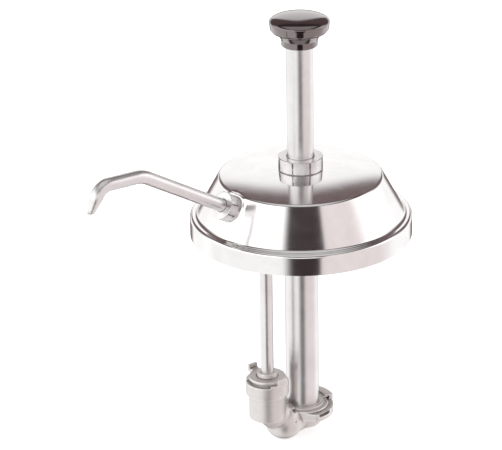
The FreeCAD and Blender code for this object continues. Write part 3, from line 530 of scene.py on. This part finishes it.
HEM = 0.42                               # rounding of the skirt's cut edge, as a share of the sheet
LEDGE_BEND, LEDGE_BEND_IN = 2.5, 1.6     # the sheet's bends, outside and inside
FOOT_BEND, FOOT_BEND_IN = 3.0, 3.9
SHOULDER_BEND, SHOULDER_BEND_IN = 3.5, 2.6
HUB_BEND, HOLE_EDGE = 1.2, 0.2
DOME_STEPS, BEND_STEPS = 14, 16
LID_FACET = 1.6                          # longest edge of the lid's outline
SPOUT_HOLE, HOLE_TOOL = 7.2, 6.0         # radius of the spout's hole, and half the height of its tool


def lid_piece():
    """The spun sheet with its ledge, leaning flank, soft shoulder, shallow dome and spout seat."""
    foot = SHOULDER[0] + (SHOULDER[1] - LEDGE) * math.tan(LEAN)
    inset = SHEET / math.cos(LEAN) - SHEET * math.tan(LEAN)
    under = HUB - SHEET
    shoulder_in = (SHOULDER[0] - inset, SHOULDER[1] - SHEET)
    edge = SHEET * HEM
    outline = [(RIM - SHEET, 0, edge), (RIM, 0, edge), (RIM, LEDGE, LEDGE_BEND),
               (foot, LEDGE, FOOT_BEND), (*SHOULDER, SHOULDER_BEND)]
    outline += [(*p, 0) for p in arc_points(SHOULDER, (HUB_FLAT, HUB), -DOME, DOME_STEPS)]
    outline += [(HUB_FLAT, HUB, HUB_BEND), (HUB_HOLE, HUB, HOLE_EDGE),
                (HUB_HOLE, under, HOLE_EDGE), (HUB_FLAT, under, HUB_BEND)]
    outline += [(*p, 0) for p in arc_points((HUB_FLAT, under), shoulder_in, DOME, DOME_STEPS)]
    outline += [(*shoulder_in, SHOULDER_BEND_IN), (foot - inset, LEDGE - SHEET, FOOT_BEND_IN),
                (RIM - SHEET, LEDGE - SHEET, LEDGE_BEND_IN)]
    lid = turned("lid_shell", divide(soften(outline, BEND_STEPS), LID_FACET), LID_ROUND)
    press_spout_seat(lid)
    plug = [(0, -HOLE_TOOL), (SPOUT_HOLE, -HOLE_TOOL), (SPOUT_HOLE, HOLE_TOOL), (0, HOLE_TOOL)]
    return cut(lid, turned("hole_tool", soften(plug), HOLE_ROUND, spout_matrix()))


def press_spout_seat(lid, face_radius=10.8, blend=3.2, depth=2.2, behind=8.0):
    """Flatten the flank round the spout's axis, outside to the seat and inside to its back."""
    for vertex in lid.data.vertices:
        offset = vertex.co / MM - SEAT
        height = offset.dot(SPOUT)
        reach = (offset - SPOUT * height).length
        if reach > face_radius + blend or height < -behind:
            continue
        share = min(1.0, max(0.0, (face_radius + blend - reach) / blend))
        share = share * share * (3 - 2 * share)
        target = 0.0 if is_outside(vertex.co / MM) else -depth
        vertex.co += SPOUT * ((target - height) * share * MM)


def is_outside(spot):
    """Whether a point of the flank's sheet is on its outer face."""
    middle = SHOULDER[0] + (SHOULDER[1] - spot.z) * math.tan(LEAN) - SHEET / 2
    return math.hypot(spot.x, spot.y) > middle


# ---- nuts --------------------------------------------------------------------------------------

FLATNESS = 0.32                          # 1 for true flats on the nuts, 0 for a round
CORNER_TRIM = 0.988                      # the corners are turned down to this share of their radius
FACE_INSET = 0.2                         # how far inside the flats a chamfer meets the end face
CHAMFER = math.radians(30)
CHAMFER_LEVELS = (0, 0.06, 0.14, 0.24, 0.36, 0.5, 0.64, 0.78, 0.92, 1.06, 1.25, 1.6)
WASHER_FACE, WASHER_FACE_HEIGHT = 0.9, 0.5         # a nut's round foot: its inset and its height
NUT_TURN = math.radians(8.0)             # how far the cap nut is screwed round from square


def octagon_radius(angle, flats):
    """An octagon whose polished flats are slightly crowned."""
    eighth = math.pi / 4
    turn = (angle + eighth / 2) % eighth - eighth / 2
    return flats / 2 / math.cos(turn) ** FLATNESS


def soft_least(first, second, blur=0.07):
    """The lesser of two radii, with the edge where they cross rounded over."""
    nearer = min(first, second)
    shares = math.exp((nearer - first) / blur) + math.exp((nearer - second) / blur)
    return nearer - blur * math.log(shares)


def nut_piece(name, flats, height, bore, crown, hole, matrix, facets=24):
    """Octagonal nut with turned chamfers, a bored inside and a crown with a bevelled hole."""
    corner = flats / 2 / math.cos(math.pi / 8)
    edge, slope = flats / 2 - FACE_INSET, math.tan(CHAMFER)
    near_end = [(corner - edge) * slope * share for share in CHAMFER_LEVELS]
    levels = [WASHER_FACE_HEIGHT + level for level in near_end]
    levels += [height - level for level in reversed(near_end)]
    rings, vertices = [], []

    def add(radius_at, z):
        rings.append(upright_ring(vertices, radius_at, z, 8 * facets))

    def side(z):
        cone = edge + min(z - WASHER_FACE_HEIGHT, height - z) / slope
        trim = corner * CORNER_TRIM
        return lambda angle: soft_least(soft_least(octagon_radius(angle, flats), trim, 0.05), cone)

    face, ceiling = edge - WASHER_FACE, height - crown
    add(lambda angle: face, 0)
    add(lambda angle: face, WASHER_FACE_HEIGHT - 0.05)
    for z in levels:
        add(side(z), z)
    top_bevel = [(edge - 0.35, height), (hole + 0.5, height), (hole + 0.35, height),
                 (hole + 0.12, height - 0.1), (hole, height - 0.3)]
    crown_step = [(hole, ceiling + 0.1), (hole + 0.1, ceiling),
                  (bore - 0.2, ceiling), (bore, ceiling - 0.2)]
    foot_bevel = [(bore, 0.25), (bore + 0.12, 0.08), (bore + 0.3, 0), (face - 0.1, 0)]
    for r, z in top_bevel + crown_step + foot_bevel:
        add(lambda angle, r=r: r, z)
    piece = finish_mesh(name, vertices, rings_to_faces(rings, True))
    piece.matrix_world = matrix
    return piece


# ---- tubes -------------------------------------------------------------------------------------


def rounded_path(corners, radii, step):
    """Points along straight runs between corners, joined by true bends of the given radii."""
    points = [corners[0]]
    for corner, before, after, radius in zip(corners[1:-1], corners, corners[2:], radii):
        a, b = (before - corner).normalized(), (after - corner).normalized()
        half = a.angle(b) / 2
        reach = radius / math.tan(half)
        centre = corner + (a + b).normalized() * (radius / math.sin(half))
        spoke, last = corner + a * reach - centre, corner + b * reach - centre
        spread = spoke.angle(last)
        parts = max(6, math.ceil(spread * radius / step))
        axis = spoke.cross(last).normalized()
        for part in range(parts + 1):
            points.append(centre + Matrix.Rotation(spread * part / parts, 3, axis) @ spoke)
    points.append(corners[-1])
    return points


def divided_path(points, longest):
    """Add points to an open path so that no edge is longer than longest."""
    result = [points[0]]
    for before, after in zip(points, points[1:]):
        parts = max(1, math.ceil((after - before).length / longest))
        result += [before.lerp(after, part / parts) for part in range(1, parts + 1)]
    return result


def swept(name, points, radius_at, wall_at, side, level_end):
    """Sweep a hollow tube along points in one plane with normal side, its end cut at a level.

    radius_at and wall_at give the outside and the wall for a length along the path."""
    vertices = []
    lengths = [0.0]
    for before, after in zip(points, points[1:]):
        lengths.append(lengths[-1] + (after - before).length)

    def skin(radius_along):
        rings = []
        for k, here in enumerate(points):
            ahead = points[min(k + 1, len(points) - 1)] - points[max(k - 1, 0)]
            ahead.normalize()
            up, radius = side.cross(ahead), radius_along(lengths[k])
            rings.append(tube_ring(vertices, here, side, up, radius, PIPE_ROUND))
        for number in rings[-1]:
            vertices[number] += ahead * ((level_end - vertices[number].z) / ahead.z)
        return rings

    outer = skin(radius_at)
    inner = skin(lambda length: radius_at(length) - wall_at(length))
    return finish_mesh(name, vertices, rings_to_faces(outer + inner[::-1], True))


KNEE_BEND, SPOUT_BEND, TIP_BEND = 25.0, 22.0, 12.0           # radii of the discharge tube's bends
SPOUT_RUN, ARM_RUN, TIP_RUN = 88.1, 35.3, 19.6               # between the corners of its path
ARM_RISE, TIP_FALL = math.radians(2.6), math.radians(64.2)
TIP_RADIUS, TIP_EASE = 2.35, 3.0         # the taper starts softly over this length
TUBE_WALL, TIP_THINNING = 0.9, 0.225
BEND_FACET, PIPE_FACET = 1.2, 2.0        # longest edges along the bends and the straights


def discharge_tube_piece():
    """Riser, bend under the lid, spout, two bends and a tapered tip cut level."""
    foot = Vector((0, -OFFSET, low("discharge_tube").z))
    knee = Vector((0, -OFFSET, SEAT.z - (-SEAT.y - OFFSET) * math.tan(RISE)))
    first = SEAT + SPOUT * SPOUT_RUN
    second = first + Vector((0, -math.cos(ARM_RISE), math.sin(ARM_RISE))) * ARM_RUN
    tip = second + Vector((0, -math.cos(TIP_FALL), -math.sin(TIP_FALL))) * TIP_RUN
    corners = [foot, knee, first, second, tip]
    path = rounded_path(corners, (KNEE_BEND, SPOUT_BEND, TIP_BEND), BEND_FACET)
    path = divided_path(path, PIPE_FACET)
    total = sum((after - before).length for before, after in zip(path, path[1:]))
    straight = TIP_RUN - TIP_BEND * math.tan((ARM_RISE + TIP_FALL) / 2)

    def tapered(length):
        return max(0.0, (length - (total - straight)) / straight)

    def radius_at(length):
        share = tapered(length)
        ease = TIP_EASE / straight
        soft = share if share > ease else share * share / ease
        return TUBE - (TUBE - TIP_RADIUS) * min(soft, 1.0)

    def wall_at(length):
        return TUBE_WALL - TIP_THINNING * tapered(length)

    return swept("discharge_pipe", path, radius_at, wall_at, Vector((1, 0, 0)), tip.z)


WIRE, COIL, TURNS = 0.7, 9.4, 13.0       # the spring's wire radius, coil radius and turns
FACETS_PER_TURN = 30


def spring_piece():
    """Round wire coil with a closed turn at each end."""
    bottom, top = low("return_spring").z + WIRE, high("return_spring").z - WIRE
    total = int(TURNS * FACETS_PER_TURN)
    points = []
    for k in range(total + 1):
        turn = k / total * TURNS
        angle = 2 * math.pi * turn
        z = bottom + (top - bottom) * lead(turn, TURNS)
        points.append(Vector((COIL * math.cos(angle), COIL * math.sin(angle), z)))
    vertices, rings = [], []
    for k, here in enumerate(points):
        ahead = (points[min(k + 1, total)] - points[max(k - 1, 0)]).normalized()
        out = Vector((here.x, here.y, 0)).normalized()
        up = ahead.cross(out).normalized()
        rings.append(tube_ring(vertices, here, out, up, WIRE, WIRE_ROUND))
    faces = rings_to_faces(rings, False)
    faces += [rings[0][::-1], rings[-1]]
    return finish_mesh("return_coil", vertices, faces)


def lead(t, turns, closed=0.85, pitch_share=0.16, blend=0.5, steps=200):
    """How far up a coil is after t turns: slow in the closed end turns, even between them."""

    def rate(x):
        end = min(x, turns - x)
        soft = min(1.0, max(0.0, (end - closed) / blend + 0.5))
        return pitch_share + (1 - pitch_share) * soft

    whole = sum(rate((k + 0.5) / steps * turns) for k in range(steps))
    part = t / turns * steps
    done = sum(rate((k + 0.5) / steps * turns) for k in range(int(part)))
    done += (part - int(part)) * rate(min(t, turns))
    return min(done / whole, 1.0)


# ---- castings ------------------------------------------------------------------------------------


def recast(name, node, voxel, passes):
    """A casting's even skin: the CAD solid with every edge slightly rounded."""
    mesh = frame["nodes"][node].data.copy()
    shape = bmesh.new()
    shape.from_mesh(mesh)
    bmesh.ops.remove_doubles(shape, verts=shape.verts, dist=TINY)
    shape.to_mesh(mesh)
    shape.free()
    piece = bpy.data.objects.new(name, mesh)
    bpy.context.scene.collection.objects.link(piece)
    grid = piece.modifiers.new("grid", "REMESH")
    grid.mode = "VOXEL"
    grid.voxel_size = voxel * MM
    grid.use_smooth_shade = True
    relax = piece.modifiers.new("relax", "SMOOTH")
    relax.factor = 0.5
    relax.iterations = passes
    return applied(piece)


PIN_BESIDE = 2.2                         # the skin is found this many pin radii over the pin's axis
PIN_CLEAR = 40.0                         # by a ray that starts this far out, outside the casting


def keeper_pin(name, body):
    """A pin through the casting, driven in flush with its skin at both ends."""
    middle = (low(name) + high(name)) / 2
    radius = (high(name).z - low(name).z) / 2
    ends = []
    for way in (1, -1):
        beside = Vector((PIN_CLEAR * way, middle.y, middle.z + PIN_BESIDE * radius)) * MM
        hit, spot, _, _ = body.ray_cast(beside, Vector((-way, 0, 0)))
        ends.append(spot.x / MM if hit else high(name).x * way)
    outline = soften([(0, ends[1]), (radius, ends[1], STEEL_ROUND), (radius, ends[0], STEEL_ROUND),
                      (0, ends[0])])
    level = Matrix.Rotation(math.pi / 2, 4, "Y")
    level = Matrix.Translation(Vector((0, middle.y, middle.z)) * MM) @ level
    return turned(f"{name}_driven", outline, PIN_ROUND, level)


# ---- knob and small turned pieces -----------------------------------------------------------------

# Knob: heights are over its foot, and the disc's radii are set in from its rim.
SOCKET_TOP, STUD_TOP, STUD = 6.8, 16.8, 5.0        # holes for the tube and for its stud
SOCKET_GAP = 0.03
COLLAR, COLLAR_TOP = 13.0, 4.6
NECK, NECK_TOP = 15.1, 7.9
COVE_IN, COVE_TOP, COVE_RADIUS = 2.2, 10.4, 5.5
FLARE_IN, FLARE_FOOT = 0.8, 12.0
DISC_RIM, LIP = 17.3, 0.9                # where the dome starts, and the upright lip below it
COVE_STEPS, DOME_QUARTER = 8, 28


def knob_piece():
    """Collar, cove and flared disc with an oval dome, hollow for the tube and its stud."""
    out, rim = high("knob").x, KNOB + DISC_RIM
    rise = high("knob").z - rim
    hole = PLUNGER + SOCKET_GAP
    neck, cove = (NECK, KNOB + NECK_TOP), (out - COVE_IN, KNOB + COVE_TOP)
    outline = [(0, KNOB + STUD_TOP), (STUD, KNOB + STUD_TOP, 0.2), (STUD, KNOB + SOCKET_TOP, 0.2),
               (hole, KNOB + SOCKET_TOP, 0.2), (hole, KNOB, 0.3), (COLLAR, KNOB, 0.5),
               (COLLAR, KNOB + COLLAR_TOP, 1.2), (*neck, 0)]
    outline += [(*p, 0) for p in arc_points(neck, cove, COVE_RADIUS, COVE_STEPS)]
    outline += [(*cove, 0), (out - FLARE_IN, KNOB + FLARE_FOOT, 1.0), (out, rim - LIP, 0.4)]
    for step in range(DOME_QUARTER + 1):
        angle = math.pi / 2 * step / DOME_QUARTER
        outline.append((out * math.cos(angle), rim + rise * math.sin(angle), 0))
    return turned("knob_cap", soften(outline, 6), ROUND)


PLUNGER_WALL, CYLINDER_WALL = 0.9, 1.2
WASHER_BORE, WASHER_OUT = 7.2, 9.6
RING_FACET = 12.0                        # longest edge along a tube or washer


def small_pieces():
    """The straight tubes and the spout's washer, with their edges broken."""
    rows = [
        ("plunger_pipe", "plunger", "plunger_tube", PLUNGER - PLUNGER_WALL, PLUNGER,
         low("plunger_tube").z, high("plunger_tube").z, None),
        ("cylinder_pipe", "housing", "cylinder_tube", CYLINDER - CYLINDER_WALL, CYLINDER,
         low("cylinder_tube").z, high("cylinder_tube").z, None),
        ("spout_seat_washer", "housing", "spout_washer", WASHER_BORE, WASHER_OUT,
         0.0, WASHER, spout_matrix()),
    ]
    for name, body, node, inner, outer, bottom, top, matrix in rows:
        outline = divide(ring_outline(inner, outer, bottom, top), RING_FACET)
        place(turned(name, outline, SMALL_ROUND, matrix), body, "steel_polished", node)


CAP_NUT_GAP, SPOUT_NUT_GAP = 0.25, 0.15  # between a nut's crown and the tube through it
CAST_VOXEL, SMALL_CAST_VOXEL = 0.42, 0.3


def build_pieces():
    """Every piece with its body, slot, CAD node and finish."""
    place(lid_piece(), "housing", "steel_satin", "lid")
    place(knob_piece(), "plunger", "knob_black", "knob")
    small_pieces()
    on_hub = Matrix.Translation((0, 0, HUB * MM)) @ Matrix.Rotation(NUT_TURN, 4, "Z")
    cap = nut_piece("cap_nut_turned", flats=32.0, height=9.7, bore=13.05, crown=2.6,
                    hole=PLUNGER + CAP_NUT_GAP, matrix=on_hub)
    place(cap, "housing", "steel_polished", "cap_nut", finish="steel_nut")
    small = nut_piece("spout_nut_turned", flats=20.0, height=7.4, bore=7.05, crown=1.6,
                      hole=TUBE + SPOUT_NUT_GAP, matrix=spout_matrix(WASHER))
    place(small, "housing", "steel_polished", "spout_nut", finish="steel_nut")
    place(discharge_tube_piece(), "housing", "steel_polished", "discharge_tube", finish="steel_drawn")
    body = recast("valve_casting", "valve_body", CAST_VOXEL, 6)
    place(body, "housing", "steel_cast", "valve_body")
    for name in ("inlet_pin", "outlet_pin"):
        place(keeper_pin(name, body), "housing", "steel_polished", name, finish="steel_drawn")
    fitting = recast("fitting_casting", "discharge_fitting", SMALL_CAST_VOXEL, 5)
    place(fitting, "housing", "steel_cast", "discharge_fitting")
    foot = recast("foot_casting", "cylinder_foot", SMALL_CAST_VOXEL, 4)
    place(foot, "housing", "steel_cast", "cylinder_foot")
    coil = place(spring_piece(), "housing", "spring_steel", "return_spring")
    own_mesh(coil)


# ---- studio ----------------------------------------------------------------------------------------

VIEW_TURN = 52.0                         # the camera stands this far round from -Y, in degrees
VIEW_RISE, VIEW_ROLL = 22.982, -0.891
VIEW_DISTANCE = 2204.74
VIEW_SHIFT = -36.22                      # moved along its own right, so to the left of the axis
FOCUS_HEIGHT = 5.6
LENS, SENSOR = 218.6, 36.0
NEAREST, FURTHEST = 0.1, 50.0            # what the camera sees, in metres


def camera():
    """A long lens that looks slightly down, from well round to the side of the spout."""
    data = bpy.data.cameras.new("camera")
    data.lens = LENS
    data.sensor_width = SENSOR
    data.clip_start, data.clip_end = NEAREST, FURTHEST
    turn, rise = math.radians(VIEW_TURN), math.radians(VIEW_RISE)
    right = Vector((math.cos(turn), math.sin(turn), 0))
    toward = Vector((math.sin(turn) * math.cos(rise), -math.cos(turn) * math.cos(rise),
                     math.sin(rise)))
    focus = right * VIEW_SHIFT + Vector((0, 0, FOCUS_HEIGHT))
    eye = bpy.data.objects.new("camera", data)
    spin = (Matrix.Rotation(turn, 4, "Z") @ Matrix.Rotation(math.pi / 2 - rise, 4, "X")
            @ Matrix.Rotation(math.radians(VIEW_ROLL), 4, "Z"))
    eye.matrix_world = Matrix.Translation((focus + toward * VIEW_DISTANCE) * MM) @ spin
    bpy.context.scene.collection.objects.link(eye)
    bpy.context.scene.camera = eye


FLOOR_HALF, FLOOR_GAP = 12.0, 0.0003     # in metres
FLOOR_GLOW = 0.45


def floor():
    """A broad pale floor just under the valve body, which reflections don't show."""
    level = cad_box[0].z - FLOOR_GAP
    corners = [(-1, -1), (1, -1), (1, 1), (-1, 1)]
    mesh = bpy.data.meshes.new("floor")
    mesh.from_pydata([(FLOOR_HALF * x, FLOOR_HALF * y, level) for x, y in corners], [], [(0, 1, 2, 3)])
    piece = bpy.data.objects.new("floor", mesh)
    bpy.context.scene.collection.objects.link(piece)
    look = Look("floor_look", 0.0)
    tone = look.noise(0.8, 2.0, 0.5)
    look.colours(tone, (0.3, (0.93, 0.93, 0.93)), (0.7, (0.95, 0.95, 0.95)))
    look.shader.inputs["Roughness"].default_value = 0.9
    look.shader.inputs["Specular IOR Level"].default_value = 0.0
    look.shader.inputs["Emission Color"].default_value = (1, 1, 1, 1)
    look.shader.inputs["Emission Strength"].default_value = FLOOR_GLOW
    mesh.materials.append(look.material)
    piece.visible_glossy = False


class Sky(NodeTree):
    """The studio round the object, as soft-edged panels by direction.

    In degrees: around is the way round from the camera's side, height the way up from level, and
    over_top the way over the top from the back. right is how far a direction leans to the right."""

    def __init__(self):
        world = bpy.data.worlds.new("studio")
        bpy.context.scene.world = world
        world.use_nodes = True
        self.tree = world.node_tree
        self.back = self.tree.nodes["Background"]
        split = self.add("SeparateXYZ")
        self.link(self.add("TexCoord").outputs["Generated"], split.inputs[0])
        x, y, z = split.outputs
        turn = math.radians(VIEW_TURN)
        ahead = self.math("ADD", self.math("MULTIPLY", x, math.sin(turn)),
                          self.math("MULTIPLY", y, -math.cos(turn)))
        self.right = self.math("ADD", self.math("MULTIPLY", x, math.cos(turn)),
                               self.math("MULTIPLY", y, math.sin(turn)))
        back = self.math("MULTIPLY", ahead, -1.0)
        self.around = self.degrees(self.math("ARCTAN2", self.right, ahead))
        self.height = self.degrees(self.math("ARCSINE", z))
        self.over_top = self.degrees(self.math("ARCTAN2", z, back))

    def degrees(self, radians):
        return self.math("MULTIPLY", radians, 180 / math.pi)

    def step(self, value, start, end):
        """0 below start, 1 above end, smooth between; start may be above end."""
        outcome = (1.0, 0.0) if start > end else (0.0, 1.0)
        return self.spread(value, min(start, end), max(start, end), *outcome,
                           interpolation_type="SMOOTHSTEP")

    def band(self, value, rise, fall):
        """1 between two soft edges, each given as (start, end)."""
        return self.math("MULTIPLY", self.step(value, *rise), self.step(value, *fall[::-1]))

    def over(self, under, mask, colour, strength):
        """Lay a panel over what is there."""
        node = self.add("Mix", data_type="RGBA")
        self.link(mask, node.inputs["Factor"])
        if isinstance(under, tuple):
            node.inputs["A"].default_value = (*under, 1)
        else:
            self.link(under, node.inputs["A"])
        node.inputs["B"].default_value = (*(c * strength for c in colour), 1)
        return node.outputs["Result"]

    def both(self, *masks):
        """Where all the masks are."""
        result = masks[0]
        for mask in masks[1:]:
            result = self.math("MULTIPLY", result, mask)
        return result


# Panels of the studio. An edge is (start, end), in degrees unless noted, soft between the two.
WHITE, WARM_GREY, DARK = (1.0, 1.0, 1.0), (0.99, 0.915, 0.91), (0.074, 0.055, 0.055)
BACKDROP, CEILING, HIGH_CEILING, TABLE = 1.15, 2.4, 0.9, 3.0       # how bright each one is
FRONT, FRONT_FOOT, RIGHT_PANEL, GAP, STRIP = 1.5, 1.12, 0.93, 0.7, 0.68
ARCH, ARCH_MOST = 0.10, 23.0             # how fast the ceiling's edge sinks to the sides, and its most
CEILING_EDGE, HIGH_EDGE = (30.0, 39.0), (42.0, 50.0)
TABLE_SIDES, TABLE_TOP = (148.0, 160.0), (5.0, -6.0)
FRONT_LEFT, FRONT_RIGHT = (-136.0, -98.0), (98.0, 136.0)
FRONT_TOP, FRONT_FOOT_TOP = (43.0, 37.5), (8.0, -8.0)
PANEL_LEFT, PANEL_RIGHT, PANEL_SLANT = (10.0, 20.0), (98.0, 76.0), 0.45
GAP_LEFT, GAP_RIGHT, GAP_SLANTS = (-24.0, -12.0), (24.0, 20.0), (0.10, 0.13)
FAINT_FOOT, FAINT_TOP, FAINTNESS = (-14.0, -6.0), (20.0, 27.0), 0.8     # the paler middle of the gap
STRIP_OVER, STRIP_FOOT = (58.0, 70.0), (48.0, 55.0)
STRIP_ENDS = (0.62, 0.34)                # how far to the side, as a part of 1


def studio():
    """White backdrop with a dark ceiling that sinks towards the sides and a dark table at the back.

    In front are two tall softboxes, the right one warmer, with a dark gap between them that is paler
    at the middle, and a pale strip high up."""
    sky = Sky()
    side = sky.math("ABSOLUTE", sky.around)
    off_back = sky.math("SUBTRACT", 180.0, side)
    sink = sky.math("MULTIPLY", sky.math("MULTIPLY", off_back, off_back), ARCH)
    arch = sky.math("ADD", sky.height, sky.math("MINIMUM", sink, ARCH_MOST))
    backdrop = tuple(BACKDROP * c for c in WHITE)
    colour = sky.over(backdrop, sky.step(arch, *CEILING_EDGE), DARK, CEILING)
    colour = sky.over(colour, sky.step(sky.height, *HIGH_EDGE), DARK, HIGH_CEILING)

    table = sky.both(sky.step(side, *TABLE_SIDES), sky.step(sky.height, *TABLE_TOP))
    colour = sky.over(colour, table, DARK, TABLE)

    front = sky.band(sky.around, FRONT_LEFT, FRONT_RIGHT)
    lower = sky.step(sky.height, *FRONT_TOP)
    colour = sky.over(colour, sky.both(front, lower), WHITE, FRONT)
    colour = sky.over(colour, sky.both(front, sky.step(sky.height, *FRONT_FOOT_TOP)), WHITE, FRONT_FOOT)

    slanted = sky.math("ADD", sky.around, sky.math("MULTIPLY", sky.height, PANEL_SLANT))
    right_panel = sky.both(sky.step(sky.around, *PANEL_LEFT), sky.step(slanted, *PANEL_RIGHT), lower)
    colour = sky.over(colour, right_panel, WARM_GREY, RIGHT_PANEL)

    left_edge = sky.math("ADD", sky.around, sky.math("MULTIPLY", sky.height, GAP_SLANTS[0]))
    right_edge = sky.math("SUBTRACT", sky.around, sky.math("MULTIPLY", sky.height, GAP_SLANTS[1]))
    faint = sky.math("MULTIPLY", sky.band(sky.height, FAINT_FOOT, FAINT_TOP), FAINTNESS)
    gap = sky.both(sky.step(left_edge, *GAP_LEFT), sky.step(right_edge, *GAP_RIGHT), lower,
                   sky.math("SUBTRACT", 1.0, faint))
    colour = sky.over(colour, gap, DARK, GAP)

    strip = sky.both(sky.step(sky.over_top, *STRIP_OVER), sky.step(sky.height, *STRIP_FOOT),
                     sky.step(sky.math("ABSOLUTE", sky.right), *STRIP_ENDS))
    colour = sky.over(colour, strip, WHITE, STRIP)

    plain = sky.math("SUBTRACT", 1.0, sky.add("LightPath").outputs["Is Glossy Ray"])
    colour = sky.over(colour, plain, WHITE, 1.0)
    sky.link(colour, sky.back.inputs["Color"])
    sky.back.inputs["Strength"].default_value = 1.0
    bpy.context.scene.view_settings.view_transform = "Standard"


build_pieces()
studio()
floor()
camera()
